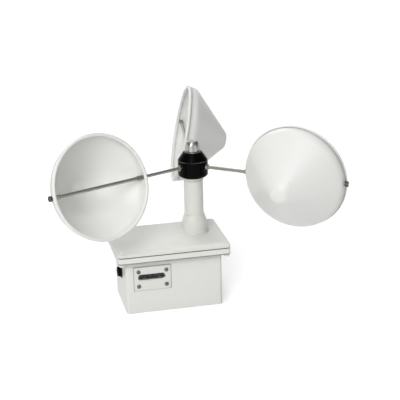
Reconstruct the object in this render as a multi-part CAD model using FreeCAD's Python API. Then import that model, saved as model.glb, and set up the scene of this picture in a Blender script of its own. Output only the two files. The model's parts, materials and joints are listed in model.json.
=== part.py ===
import FreeCAD, Part
import math
import os

V = FreeCAD.Vector

# ---- overall sizes, millimetres ------------------------------------------------
# The origin is on the rotor axis, at the underside of the box.
LID_LENGTH = 137.5
LID_DEPTH = 94.5
AXIS_TO_RIGHT = 33.0
AXIS_TO_BACK = 40.5
FLANGE_OVERHANG = 9.2
CORNER_R = 4.0
WALL = 3.5
FLOOR = 4.0
FLANGE_Z = 68.0
FLANGE_T = 7.6
GASKET_T = 1.3
GASKET_INSET = 0.9
LID_EDGE = 3.6
LID_RISE = 2.2
LID_BEVEL = 5.0
LID_PLATE = 2.9

CUP_DIAMETER = 127.0
ARM_RADIUS = 132.5
ARM_R = 2.0
FIRST_ARM_DEG = 202.3
ARM_COUNT = 3
CUP_TWIST_DEG = (19.0, 12.0, 5.0)
ARM_BEHIND_RIM = 4.8

# ---- clearances ----------------------------------------------------------------
RUN_FIT = 0.05
BALL_FIT = 0.08
EASY = 0.2
OVERCUT = 1.0

# ---- positions that follow -----------------------------------------------------
LID_X0 = AXIS_TO_RIGHT - LID_LENGTH
LID_X1 = AXIS_TO_RIGHT
LID_Y0 = AXIS_TO_BACK - LID_DEPTH
LID_Y1 = AXIS_TO_BACK
BOX_X0 = LID_X0 + FLANGE_OVERHANG
BOX_X1 = LID_X1 - FLANGE_OVERHANG
BOX_Y0 = LID_Y0 + FLANGE_OVERHANG
BOX_Y1 = LID_Y1 - FLANGE_OVERHANG
IN_X0 = BOX_X0 + WALL
IN_X1 = BOX_X1 - WALL
IN_Y0 = BOX_Y0 + WALL
IN_Y1 = BOX_Y1 - WALL
INNER_CORNER_R = 2.5
SEAM_Z = FLANGE_Z + FLANGE_T
LID_Z0 = SEAM_Z + GASKET_T
LID_EDGE_Z = LID_Z0 + LID_EDGE
LID_TOP = LID_EDGE_Z + LID_RISE
LID_UNDER = LID_TOP - LID_PLATE

# ---- screws holding the lid, from below through the flange ----------------------
LID_SCREW_R = 2.0
LID_SCREW_HEAD_R = 3.5
LID_SCREW_HEAD_H = 2.8
LID_SCREW_INSET = FLANGE_OVERHANG / 2
LID_SCREW_BITE = 3.5
SOCKET_SHARE = 0.5

# ---- holes in the floor for fastening the instrument down ------------------------
FIX_HOLE_R = 2.75
FIX_PITCH_X = 100.0
FIX_PITCH_Y = 56.5
FIX_FROM_RIGHT = 9.8
FIX_FROM_BACK = 11.3

# ---- spindle ----------------------------------------------------------------------
SPINDLE_R = 4.0
SPINDLE_LOW_R = 2.5
SPINDLE_STEP_DROP = 8.1
SPINDLE_CHAMFER = 1.0
SPINDLE_END_RISE = 3.0
SPINDLE_SHOULDER = 2.0
CLIP_T = 1.0

# ---- ball bearings ----------------------------------------------------------------
RACE_BORE_R = SPINDLE_R
RACE_H = 6.0
INNER_RACE_T = 1.9
OUTER_RACE_T = 2.0
RACE_GAP = 1.6
BALL_R = 1.35
BALL_COUNT = 8
CAGE_T = 0.8
CAGE_H = 3.8
INNER_RACE_R = RACE_BORE_R + INNER_RACE_T
BALL_PCR = INNER_RACE_R + RACE_GAP / 2
OUTER_RACE_BORE_R = INNER_RACE_R + RACE_GAP
RACE_R = OUTER_RACE_BORE_R + OUTER_RACE_T

# ---- column ---------------------------------------------------------------------
TUBE_WALL = 2.25
TUBE_LEDGE = 1.0
TUBE_H = 67.6
TUBE_BELOW_LID = 9.7
TUBE_TOP = LID_TOP + TUBE_H
TUBE_R = RACE_R + TUBE_WALL
TUBE_BORE_R = RACE_R - TUBE_LEDGE
PED_FLANGE_WALL = 5.55
PED_FLANGE_T = 1.8
PED_FOOT_WALL = 4.55
PED_WAIST_WALL = 3.15
PED_WAIST_H = 15.5
PED_TOP_H = 23.0
PED_TOP_WALL = 0.75
PED_FLANGE_R = TUBE_R + PED_FLANGE_WALL
PED_FOOT_R = TUBE_R + PED_FOOT_WALL
PED_WAIST_R = TUBE_R + PED_WAIST_WALL
PED_TOP_R = TUBE_R + PED_TOP_WALL
PED_SCREW_R = 1.25
PED_SCREW_HEAD_R = 2.3
PED_SCREW_HEAD_H = 2.0
PED_SCREW_PCR = TUBE_R + PED_SCREW_HEAD_R + RUN_FIT
PED_SCREW_BITE = 5.5
PED_SCREW_COUNT = 3
GRUB_R = 2.0
GRUB_H = 9.5
RETAINER_T = 1.5
RETAINER_BORE_R = OUTER_RACE_BORE_R
CAP_OVERHANG = 1.15
CAP_H = 6.5
CAP_LIP_T = 0.8
CAP_SHOULDER_GAP = 1.5
CAP_R = TUBE_R + CAP_OVERHANG
CAP_TOP = TUBE_TOP + CAP_H
SPINDLE_FLANGE_R = SPINDLE_R + SPINDLE_SHOULDER
CLIP_R = SPINDLE_FLANGE_R
CAP_BORE_R = SPINDLE_FLANGE_R + CAP_SHOULDER_GAP

# ---- rotor hub --------------------------------------------------------------------
HUB_CAP_GAP = 1.7
HUB_FOOT_T = 1.7
HUB_SKIRT_T = 3.7
HUB_SEAT_RISE = 2.7
HUB_CAP_OVERLAP = 2.2
HUB_FOOT_H = 2.0
HUB_SIDE_H = 20.6
HUB_CONE_H = 9.6
HUB_ARM_H = 12.9
HUB_BOTTOM = CAP_TOP - HUB_CAP_OVERLAP
HUB_SHOULDER_Z = HUB_BOTTOM + HUB_SIDE_H
HUB_TOP = HUB_SHOULDER_Z + HUB_CONE_H
HUB_SEAT_Z = TUBE_TOP + HUB_SEAT_RISE
ARM_Z = HUB_BOTTOM + HUB_ARM_H
HUB_TOP_INSET = 6.7
HUB_SKIRT_DEPTH = 4.2
HUB_BOSS_T = 2.5
HUB_ARM_WALL = 4.5
HUB_FLAT_CUT = 0.8
HUB_FLAT_SIZE = 9.6
HUB_SKIRT_BORE_R = CAP_R + HUB_CAP_GAP
HUB_FOOT_R = HUB_SKIRT_BORE_R + HUB_FOOT_T
HUB_R = HUB_SKIRT_BORE_R + HUB_SKIRT_T
HUB_TOP_R = HUB_R - HUB_TOP_INSET
HUB_BOSS_R = SPINDLE_R + HUB_BOSS_T
HUB_ARM_DEPTH_R = SPINDLE_R + HUB_ARM_WALL
HUB_FLAT_R = HUB_R - HUB_FLAT_CUT
WASHER_MARGIN = 1.9
WASHER_T = 1.5
CAP_NUT_WALL = 3.7
CAP_NUT_HEX_H = 5.4
CAP_NUT_FACE_CHAMFER = 0.7
CAP_NUT_TIP_CHAMFER = 1.2
CAP_NUT_TIP_INSET = 1.7
CAP_NUT_AF = 2 * (SPINDLE_R + CAP_NUT_WALL)
CAP_NUT_TIP_R = CAP_NUT_AF / 2 - CAP_NUT_TIP_INSET
WASHER_R = CAP_NUT_AF / 2 + WASHER_MARGIN
CAP_NUT_H = 12.0
CAP_NUT_BORE_H = 8.0
LOCK_NUT_WALL = 1.5
LOCK_NUT_T = 3.2
LOCK_NUT_AF = 2 * (ARM_R + LOCK_NUT_WALL)

# ---- cups ---------------------------------------------------------------------------
BEAD_R = 2.2
CUP_SHEET = 1.0
CUP_SKIRT_INSET = 1.5
CUP_CORNER_H = 10.08
CONE_HALF_DEG = 47.1
CONE_EDGE_R = 9.9
SKIRT_BLEND_R = 13.0
TIP_RISE = 1.7
CUP_SKIRT_R = CUP_DIAMETER / 2 - CUP_SKIRT_INSET
SLEEVE_WALL = 0.35
SLEEVE_L = 9.0
SLEEVE_AF = 2 * (ARM_R + SLEEVE_WALL)
END_NUT_WALL = 1.4
END_NUT_L = 3.4
ROOT_NUT_WALL = 0.7
ROOT_NUT_L = 2.4
END_NUT_TURN_DEG = 35.0
END_NUT_R = ARM_R + END_NUT_WALL
SLOT_W = 1.0
SLOT_D = 1.0
PAN_CROWN = 0.45
PAN_SLOT_D = 0.8

# ---- window -------------------------------------------------------------------------
PLATE_W = 45.0
PLATE_H = 30.0
PLATE_T = 1.5
PLATE_FROM_LEFT = 32.5
PLATE_BELOW_FLANGE = 23.0
PLATE_X = BOX_X0 + PLATE_FROM_LEFT
PLATE_Z = FLANGE_Z - PLATE_BELOW_FLANGE
PLATE_CORNER_R = 2.0
SLOT_L = 32.2
SLOT_H = 6.6
SLOT_CHAMFER = 1.2
SLOT_X = PLATE_X - 1.0
SLOT_Z = PLATE_Z + 1.5
POCKET_MARGIN = 1.2
POCKET_DEPTH = 2.0
PANE_T = 1.5
WIN_SCREW_PITCH_X = 34.0
WIN_SCREW_PITCH_Z = 18.6
WIN_SCREW_R = 1.25
WIN_SCREW_HEAD_R = 2.5
WIN_SCREW_HEAD_H = 1.6
WIN_SCREW_BITE = 2.8
WIN_SCREW_TURNS_DEG = (20.0, 65.0, -30.0, 80.0)

# ---- cable gland ----------------------------------------------------------------------
GLAND_FROM_FRONT = 32.3
GLAND_BELOW_FLANGE = 24.0
GLAND_Y = BOX_Y0 + GLAND_FROM_FRONT
GLAND_Z = FLANGE_Z - GLAND_BELOW_FLANGE
GLAND_R = 5.0
GLAND_BORE_R = 3.2
GLAND_SEAL_R = 8.0
GLAND_SEAL_T = 1.0
GLAND_COLLAR_R = 6.4
GLAND_COLLAR_T = 1.3
GLAND_CAP_R = 6.1
GLAND_CAP_L = 3.0
GLAND_CAP_CHAMFER = 0.8
GLAND_THREAD_L = 1.2
GLAND_CAP_HOLE_R = 2.9
GLAND_INSERT_HOLE_R = 1.5
GLAND_INSERT_L = 6.8
GLAND_NUT_AF = 13.0
GLAND_NUT_T = 2.5
GLAND_TAIL = 4.3

# ---- wind-run counter ---------------------------------------------------------------
BOSS_H = 4.0
BOSS_R = 4.5
FRAME_T = 2.0
FRAME_END_GAP = 2.7
FRAME_TAIL = 1.5
FRAME_EDGE = 4.0
FRAME_PAST_BUSH = 3.0
FRAME_BESIDE_SHAFT = 6.5
FRAME_OVER_SHAFT = 7.0
FRAME_OVER_PINION = 4.0
FRAME_SCREW_INSET = 6.5
FRAME_SCREW_R = 1.5
FRAME_SCREW_HEAD_R = 2.8
FRAME_SCREW_HEAD_H = 1.8
DRUM_R = 12.5
DRUM_WALL_GAP = 1.3
DRUM_PITCH = 6.4
DRUM_RIM_W = 4.1
DRUM_TEETH_W = 1.0
DRUM_CORE_R = 0.768 * DRUM_R
DRUM_COUNT = 5
DRUM_AXLE_R = 2.0
DRUM_HUB_R = 2.5 * DRUM_AXLE_R
AXLE_STUB = 1.0
CARRY_TEETH = 20
CARRY_MODULE = 0.088 * DRUM_R
PINION_TEETH = 8
PINION_W = 1.9
PINION_AXLE_R = 1.5
PINION_DIRECTION_DEG = 90.0
GEAR_GAP = 0.6
GEAR_PLATE_GAP = 1.7
GEAR_W = 3.0
GEAR_TEETH = 24
GEAR_MODULE = 0.8
GEAR_SLANT = 0.95
WHEEL_TEETH = 40
WHEEL_MODULE = 0.7
WHEEL_W = 3.5
WHEEL_BOSS_L = 3.0
WHEEL_HOLES = 5
WHEEL_HOLE_R = 2.4
WHEEL_HOLE_PCR = 8.6
WORM_PITCH_R = 4.5
WORM_TURNS = 7.5
WORM_DEPTH = 1.0
THREAD_SINK = 0.3
WORM_L = 17.5
SHAFT_R = 2.0
SHAFT_TAIL = 0.8
BUSH_R = 4.0
BUSH_FLANGE_R = 5.5
BUSH_FLANGE_T = 1.0
FOOT_BUSH_R = 6.0
FOOT_BUSH_H = 9.0
FOOT_BUSH_SUMP = 1.0
PRESSURE_DEG = 20.0
BACKLASH = 0.22
FRAME_Z0 = FLOOR + BOSS_H
SPINDLE_END_Z = FRAME_Z0 + SPINDLE_END_RISE
FRAME_Z1 = FRAME_Z0 + FRAME_T
WHEEL_R = WHEEL_MODULE * WHEEL_TEETH / 2
WORM_LEAD = math.pi * WHEEL_MODULE
SHAFT_Y = -(WORM_PITCH_R + WHEEL_R)
GEAR_DISTANCE = GEAR_MODULE * GEAR_TEETH
DRUM_Y = max(IN_Y0 + DRUM_WALL_GAP + DRUM_R, SHAFT_Y - GEAR_SLANT * GEAR_DISTANCE)
DRUM_Z = SLOT_Z
SHAFT_Z = DRUM_Z - math.sqrt(GEAR_DISTANCE ** 2 - (DRUM_Y - SHAFT_Y) ** 2)
CARRY_DISTANCE = CARRY_MODULE * (CARRY_TEETH + PINION_TEETH) / 2
DRUMS_X1 = SLOT_X + DRUM_PITCH * DRUM_COUNT / 2
DRUMS_X0 = DRUMS_X1 - DRUM_PITCH * DRUM_COUNT
GEAR_X0 = DRUMS_X1 + GEAR_GAP
MID_PLATE_X = GEAR_X0 + GEAR_W + GEAR_PLATE_GAP
RIGHT_PLATE_X = FOOT_BUSH_R + FRAME_PAST_BUSH
FRAME_X0 = DRUMS_X0 - FRAME_END_GAP - FRAME_T
FRAME_X1 = RIGHT_PLATE_X + FRAME_T + FRAME_TAIL
FRAME_Y0 = DRUM_Y - FRAME_EDGE
FRAME_Y1 = FOOT_BUSH_R + FRAME_PAST_BUSH


# ---- shape helpers --------------------------------------------------------------
def cyl(r, z0, z1, x=0.0, y=0.0):
    return Part.makeCylinder(r, z1 - z0, V(x, y, z0))


def rod(r, start, axis, length):
    return Part.makeCylinder(r, length, start, axis)


def box(x0, x1, y0, y1, z0, z1):
    return Part.makeBox(x1 - x0, y1 - y0, z1 - z0, V(x0, y0, z0))


def turned(points):
    """A solid of revolution about Z from (radius, height) corners."""
    wire = Part.makePolygon([V(r, 0, z) for r, z in points + [points[0]]])
    return Part.Face(wire).revolve(V(0, 0, 0), V(0, 0, 1), 360)


def prism(flats, z0, z1):
    """A hexagonal prism about Z."""
    r = flats / math.sqrt(3)
    corners = [V(r * math.cos(i * math.pi / 3), r * math.sin(i * math.pi / 3), z0) for i in range(7)]
    return Part.Face(Part.makePolygon(corners)).extrude(V(0, 0, z1 - z0))


def rounded_wire(x0, x1, y0, y1, r, z):
    """A rectangle with round corners in a level plane."""
    k = r * (1 - math.sqrt(0.5))
    lines = [
        Part.makeLine(V(x0 + r, y0, z), V(x1 - r, y0, z)),
        Part.Arc(V(x1 - r, y0, z), V(x1 - k, y0 + k, z), V(x1, y0 + r, z)).toShape(),
        Part.makeLine(V(x1, y0 + r, z), V(x1, y1 - r, z)),
        Part.Arc(V(x1, y1 - r, z), V(x1 - k, y1 - k, z), V(x1 - r, y1, z)).toShape(),
        Part.makeLine(V(x1 - r, y1, z), V(x0 + r, y1, z)),
        Part.Arc(V(x0 + r, y1, z), V(x0 + k, y1 - k, z), V(x0, y1 - r, z)).toShape(),
        Part.makeLine(V(x0, y1 - r, z), V(x0, y0 + r, z)),
        Part.Arc(V(x0, y0 + r, z), V(x0 + k, y0 + k, z), V(x0 + r, y0, z)).toShape(),
    ]
    return Part.Wire(lines)


def slab(x0, x1, y0, y1, r, z0, z1):
    return Part.Face(rounded_wire(x0, x1, y0, y1, r, z0)).extrude(V(0, 0, z1 - z0))


def placed(shape, x_to, y_to, z_to, origin):
    """The shape with its own X, Y and Z laid along three given directions."""
    m = FreeCAD.Matrix(
        x_to.x, y_to.x, z_to.x, origin.x,
        x_to.y, y_to.y, z_to.y, origin.y,
        x_to.z, y_to.z, z_to.z, origin.z,
        0, 0, 0, 1,
    )
    moved = shape.copy()
    moved.Placement = FreeCAD.Placement(m)
    return moved


def along_x(shape, x, y, z):
    """Built about Z, laid along X: its own X becomes Y and its own Y becomes Z."""
    return placed(shape, V(0, 1, 0), V(0, 0, 1), V(1, 0, 0), V(x, y, z))


def along_minus_y(shape, x, y, z):
    """Built about Z, laid so that its Z points out of the front wall."""
    return placed(shape, V(1, 0, 0), V(0, 0, 1), V(0, -1, 0), V(x, y, z))


def along_minus_x(shape, x, y, z):
    """Built about Z, laid so that its Z points out of the left wall."""
    return placed(shape, V(0, -1, 0), V(0, 0, 1), V(-1, 0, 0), V(x, y, z))


def arm_directions(k):
    """Outward, apex-side and up directions of an arm."""
    a = math.radians(FIRST_ARM_DEG - k * 360.0 / ARM_COUNT)
    return V(math.cos(a), math.sin(a), 0), V(math.sin(a), -math.cos(a), 0), V(0, 0, 1)


def on_arm(shape, k, radius, turn_deg=0.0):
    """Built about Z, laid along an arm with its Z pointing outward."""
    out, side, up = arm_directions(k)
    t = math.radians(turn_deg)
    x_to = up * math.cos(t) + side * math.sin(t)
    y_to = out.cross(x_to)
    return placed(shape, x_to, y_to, out, out * radius + V(0, 0, ARM_Z))


def cap_screw(shank_r, length, head_r, head_h):
    """Z points from the tip to the head; the head starts at zero."""
    body = cyl(shank_r, -length, 0).fuse(cyl(head_r, 0, head_h))
    socket = prism(head_r * 2 * SOCKET_SHARE, head_h * (1 - SOCKET_SHARE), head_h + OVERCUT)
    return body.cut(socket).removeSplitter()


def pan_screw(shank_r, length, head_r, head_h):
    """A slotted screw with a domed head; the head starts at zero."""
    crown = head_h * PAN_CROWN
    ball_r = (head_r ** 2 + crown ** 2) / (2 * crown)
    dome = Part.makeSphere(ball_r, V(0, 0, head_h - ball_r)).common(cyl(head_r, 0, head_h))
    wide = head_r + OVERCUT
    slot = box(-wide, wide, -SLOT_W / 2, SLOT_W / 2, head_h - PAN_SLOT_D, head_h + OVERCUT)
    return cyl(shank_r, -length, 0).fuse(dome).cut(slot).removeSplitter()


def one(shapes):
    return shapes[0] if len(shapes) == 1 else Part.makeCompound(shapes)


# ---- box -------------------------------------------------------------------------
def lid_screw_points():
    i = LID_SCREW_INSET
    return [(x, y) for x in (LID_X0 + i, LID_X1 - i) for y in (LID_Y0 + i, LID_Y1 - i)]


def fix_points():
    x1 = BOX_X1 - FIX_FROM_RIGHT
    y1 = BOX_Y1 - FIX_FROM_BACK
    return [(x, y) for x in (x1 - FIX_PITCH_X, x1) for y in (y1 - FIX_PITCH_Y, y1)]


def obround(length, height, z0, z1):
    r = height / 2
    half = length / 2 - r
    ends = cyl(r, z0, z1, -half, 0).fuse(cyl(r, z0, z1, half, 0))
    return ends.fuse(box(-half, half, -r, r, z0, z1)).removeSplitter()


def obround_cone(length, height, grow, z0, z1):
    """An obround that grows all round by the given amount from z0 to z1."""
    r = height / 2
    half = length / 2 - r
    ends = [Part.makeCone(r, r + grow, z1 - z0, V(x, 0, z0)) for x in (-half, half)]
    corners = [(-r, z0), (r, z0), (r + grow, z1), (-r - grow, z1), (-r, z0)]
    side = Part.Face(Part.makePolygon([V(-half, y, z) for y, z in corners]))
    return side.extrude(V(2 * half, 0, 0)).fuse(ends).removeSplitter()


def window_screw_points():
    return [
        (PLATE_X + sx * WIN_SCREW_PITCH_X / 2, PLATE_Z + sz * WIN_SCREW_PITCH_Z / 2)
        for sx in (-1, 1)
        for sz in (-1, 1)
    ]


def box_body():
    s = slab(BOX_X0, BOX_X1, BOX_Y0, BOX_Y1, CORNER_R, 0, FLANGE_Z + OVERCUT)
    s = s.fuse(slab(LID_X0, LID_X1, LID_Y0, LID_Y1, CORNER_R, FLANGE_Z, SEAM_Z))
    s = s.cut(slab(IN_X0, IN_X1, IN_Y0, IN_Y1, INNER_CORNER_R, FLOOR, SEAM_Z + OVERCUT))
    for x, y in frame_screw_points():
        s = s.fuse(cyl(BOSS_R, FLOOR - OVERCUT, FRAME_Z0, x, y))
        s = s.cut(cyl(FRAME_SCREW_R, FLOOR - OVERCUT, FRAME_Z0 + OVERCUT, x, y))
    for x, y in lid_screw_points():
        s = s.cut(cyl(LID_SCREW_R, FLANGE_Z - OVERCUT, SEAM_Z + OVERCUT, x, y))
    for x, y in fix_points():
        s = s.cut(cyl(FIX_HOLE_R, -OVERCUT, FLOOR + OVERCUT, x, y))
    pocket = obround(SLOT_L + 2 * POCKET_MARGIN, SLOT_H + 2 * POCKET_MARGIN, -POCKET_DEPTH, OVERCUT)
    slot = obround(SLOT_L, SLOT_H, -WALL - OVERCUT, OVERCUT)
    s = s.cut(along_minus_y(pocket, SLOT_X, BOX_Y0, SLOT_Z))
    s = s.cut(along_minus_y(slot, SLOT_X, BOX_Y0, SLOT_Z))
    for x, z in window_screw_points():
        s = s.cut(along_minus_y(cyl(WIN_SCREW_R, -WIN_SCREW_BITE, OVERCUT), x, BOX_Y0, z))
    s = s.cut(along_minus_x(cyl(GLAND_R, -WALL - OVERCUT, OVERCUT), BOX_X0, GLAND_Y, GLAND_Z))
    return s.removeSplitter()


def lid_gasket():
    i = GASKET_INSET
    s = slab(LID_X0 + i, LID_X1 - i, LID_Y0 + i, LID_Y1 - i, CORNER_R - i, SEAM_Z, LID_Z0)
    s = s.cut(slab(IN_X0, IN_X1, IN_Y0, IN_Y1, INNER_CORNER_R, SEAM_Z - OVERCUT, LID_Z0 + OVERCUT))
    for x, y in lid_screw_points():
        s = s.cut(cyl(LID_SCREW_R, SEAM_Z - OVERCUT, LID_Z0 + OVERCUT, x, y))
    return s


def pedestal_screw_points():
    step = 2 * math.pi / PED_SCREW_COUNT
    return [
        (PED_SCREW_PCR * math.sin(i * step), -PED_SCREW_PCR * math.cos(i * step))
        for i in range(PED_SCREW_COUNT)
    ]


def lid():
    b = LID_BEVEL
    s = slab(LID_X0, LID_X1, LID_Y0, LID_Y1, CORNER_R, LID_Z0, LID_EDGE_Z)
    low = rounded_wire(LID_X0, LID_X1, LID_Y0, LID_Y1, CORNER_R, LID_EDGE_Z)
    high = rounded_wire(LID_X0 + b, LID_X1 - b, LID_Y0 + b, LID_Y1 - b, CORNER_R, LID_TOP)
    s = s.fuse(Part.makeLoft([low, high], True, True))
    s = s.cut(slab(IN_X0, IN_X1, IN_Y0, IN_Y1, INNER_CORNER_R, LID_Z0 - OVERCUT, LID_UNDER))
    s = s.cut(cyl(TUBE_R, LID_Z0, LID_TOP + OVERCUT))
    for x, y in lid_screw_points():
        s = s.cut(cyl(LID_SCREW_R, LID_Z0 - OVERCUT, LID_Z0 + LID_SCREW_BITE, x, y))
    for x, y in pedestal_screw_points():
        s = s.cut(cyl(PED_SCREW_R, LID_UNDER - OVERCUT, LID_TOP + OVERCUT, x, y))
    return s.removeSplitter()


def lid_screws():
    length = LID_Z0 + LID_SCREW_BITE - FLANGE_Z
    screw = cap_screw(LID_SCREW_R, length, LID_SCREW_HEAD_R, LID_SCREW_HEAD_H)
    flip = (V(1, 0, 0), V(0, -1, 0), V(0, 0, -1))
    return one([placed(screw, *flip, V(x, y, FLANGE_Z)) for x, y in lid_screw_points()])


# ---- column ----------------------------------------------------------------------
def pedestal():
    foot = LID_TOP + PED_FLANGE_T
    s = turned([
        (TUBE_R, LID_TOP),
        (PED_FLANGE_R, LID_TOP),
        (PED_FLANGE_R, foot),
        (PED_FOOT_R, foot),
        (PED_WAIST_R, LID_TOP + PED_WAIST_H),
        (PED_TOP_R, LID_TOP + PED_TOP_H),
        (TUBE_R, LID_TOP + PED_TOP_H),
    ])
    for x, y in pedestal_screw_points():
        s = s.cut(cyl(PED_SCREW_R, LID_TOP - OVERCUT, LID_TOP + PED_SCREW_BITE, x, y))
    s = s.cut(rod(GRUB_R, V(0, 0, LID_TOP + GRUB_H), V(0, 1, 0), PED_FLANGE_R))
    return s


def pedestal_screws():
    screw = cap_screw(PED_SCREW_R, LID_PLATE + PED_SCREW_BITE, PED_SCREW_HEAD_R, PED_SCREW_HEAD_H)
    flip = (V(1, 0, 0), V(0, -1, 0), V(0, 0, -1))
    return one([placed(screw, *flip, V(x, y, LID_UNDER)) for x, y in pedestal_screw_points()])


def pedestal_grub():
    length = PED_WAIST_R - TUBE_R
    s = cyl(GRUB_R, 0, length)
    s = s.cut(prism(GRUB_R, length * SOCKET_SHARE, length + OVERCUT))
    return placed(s, V(1, 0, 0), V(0, 0, -1), V(0, 1, 0), V(0, TUBE_R, LID_TOP + GRUB_H))


def tube_bottom():
    return LID_UNDER - TUBE_BELOW_LID


def lower_bearing_z():
    return tube_bottom() + RETAINER_T


def upper_bearing_z():
    return TUBE_TOP - RACE_H - CAP_LIP_T


def column_tube():
    s = cyl(TUBE_R, tube_bottom(), TUBE_TOP)
    s = s.cut(cyl(TUBE_BORE_R, tube_bottom() - OVERCUT, TUBE_TOP + OVERCUT))
    s = s.cut(cyl(RACE_R, tube_bottom() - OVERCUT, lower_bearing_z() + RACE_H))
    s = s.cut(cyl(RACE_R, upper_bearing_z(), TUBE_TOP + OVERCUT))
    return s


def bearing_cap():
    lip = TUBE_TOP - CAP_LIP_T
    s = cyl(CAP_R, TUBE_TOP, CAP_TOP).fuse(cyl(RACE_R, lip, TUBE_TOP))
    return s.cut(cyl(CAP_BORE_R, lip - OVERCUT, CAP_TOP + OVERCUT)).removeSplitter()


def bearing_retainer():
    z0 = tube_bottom()
    return cyl(RACE_R, z0, z0 + RETAINER_T).cut(cyl(RETAINER_BORE_R, z0 - OVERCUT, z0 + RETAINER_T + OVERCUT))


def ball_track():
    return Part.makeTorus(BALL_PCR, BALL_R + BALL_FIT)


def outer_race(z0):
    s = cyl(RACE_R, -RACE_H / 2, RACE_H / 2).cut(cyl(OUTER_RACE_BORE_R, -RACE_H, RACE_H))
    s = s.cut(ball_track())
    s.translate(V(0, 0, z0 + RACE_H / 2))
    return s


def inner_race(z0):
    s = cyl(INNER_RACE_R, -RACE_H / 2, RACE_H / 2).cut(cyl(RACE_BORE_R, -RACE_H, RACE_H))
    s = s.cut(ball_track())
    s.translate(V(0, 0, z0 + RACE_H / 2))
    return s


def ball_points(z0):
    step = 2 * math.pi / BALL_COUNT
    z = z0 + RACE_H / 2
    turns = [(i + 0.5) * step for i in range(BALL_COUNT)]
    return [V(BALL_PCR * math.cos(a), BALL_PCR * math.sin(a), z) for a in turns]


def balls(z0):
    return one([Part.makeSphere(BALL_R, p) for p in ball_points(z0)])


def ball_cage(z0):
    zc = z0 + RACE_H / 2
    s = cyl(BALL_PCR + CAGE_T / 2, zc - CAGE_H / 2, zc + CAGE_H / 2)
    s = s.cut(cyl(BALL_PCR - CAGE_T / 2, zc - CAGE_H, zc + CAGE_H))
    for p in ball_points(z0):
        outward = V(p.x, p.y, 0).normalize()
        s = s.cut(rod(BALL_R + RUN_FIT, V(0, 0, zc), outward, RACE_R))
    return s


# ---- rotor -----------------------------------------------------------------------
def hub():
    skirt = HUB_BOTTOM + HUB_SKIRT_DEPTH
    s = turned([
        (SPINDLE_R, HUB_SEAT_Z),
        (HUB_BOSS_R, HUB_SEAT_Z),
        (HUB_BOSS_R, skirt),
        (HUB_SKIRT_BORE_R, skirt),
        (HUB_SKIRT_BORE_R, HUB_BOTTOM),
        (HUB_FOOT_R, HUB_BOTTOM),
        (HUB_R, HUB_BOTTOM + HUB_FOOT_H),
        (HUB_R, HUB_SHOULDER_Z),
        (HUB_TOP_R, HUB_TOP),
        (SPINDLE_R, HUB_TOP),
    ])
    for k in range(ARM_COUNT):
        s = s.cut(on_arm(cyl(ARM_R, 0, HUB_R), k, HUB_ARM_DEPTH_R))
        h = HUB_FLAT_SIZE / 2
        s = s.cut(on_arm(box(-h, h, -h, h, 0, HUB_R), k, HUB_FLAT_R))
    return s


def hub_lock_nuts():
    nut = prism(LOCK_NUT_AF, 0, LOCK_NUT_T).cut(cyl(ARM_R, -OVERCUT, LOCK_NUT_T + OVERCUT))
    return one([on_arm(nut, k, HUB_FLAT_R) for k in range(ARM_COUNT)])


def cap_washer():
    top = HUB_TOP + WASHER_T
    return cyl(WASHER_R, HUB_TOP, top).cut(cyl(SPINDLE_R, HUB_TOP - OVERCUT, top + OVERCUT))


def cap_nut():
    z0 = HUB_TOP + WASHER_T
    tip = z0 + CAP_NUT_H
    corner_r = CAP_NUT_AF / math.sqrt(3)
    s = prism(CAP_NUT_AF, z0, tip)
    s = s.common(turned([
        (0, z0),
        (CAP_NUT_AF / 2, z0),
        (corner_r, z0 + CAP_NUT_FACE_CHAMFER),
        (corner_r, z0 + CAP_NUT_HEX_H),
        (CAP_NUT_TIP_R + CAP_NUT_TIP_CHAMFER, tip - CAP_NUT_TIP_CHAMFER),
        (CAP_NUT_TIP_R, tip),
        (0, tip),
    ]))
    return s.cut(cyl(SPINDLE_R, z0 - OVERCUT, z0 + CAP_NUT_BORE_H))


def spindle():
    top = HUB_TOP + WASHER_T + CAP_NUT_BORE_H
    race_top = upper_bearing_z() + RACE_H
    step = tube_bottom() - SPINDLE_STEP_DROP
    return turned([
        (0, SPINDLE_END_Z),
        (SPINDLE_LOW_R, SPINDLE_END_Z),
        (SPINDLE_LOW_R, step),
        (SPINDLE_R, step),
        (SPINDLE_R, race_top),
        (SPINDLE_FLANGE_R, race_top),
        (SPINDLE_FLANGE_R, HUB_SEAT_Z),
        (SPINDLE_R, HUB_SEAT_Z),
        (SPINDLE_R, top - SPINDLE_CHAMFER),
        (SPINDLE_R - SPINDLE_CHAMFER, top),
        (0, top),
    ])


def spindle_clip():
    z1 = lower_bearing_z()
    return cyl(CLIP_R, z1 - CLIP_T, z1).cut(cyl(SPINDLE_R, z1 - CLIP_T - OVERCUT, z1 + OVERCUT))


def arm():
    length = ARM_RADIUS + cup_hold_r() + END_NUT_L - SLOT_D - HUB_ARM_DEPTH_R
    return cyl(ARM_R, 0, length)


def arms():
    return one([on_arm(arm(), k, HUB_ARM_DEPTH_R) for k in range(ARM_COUNT)])


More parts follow.
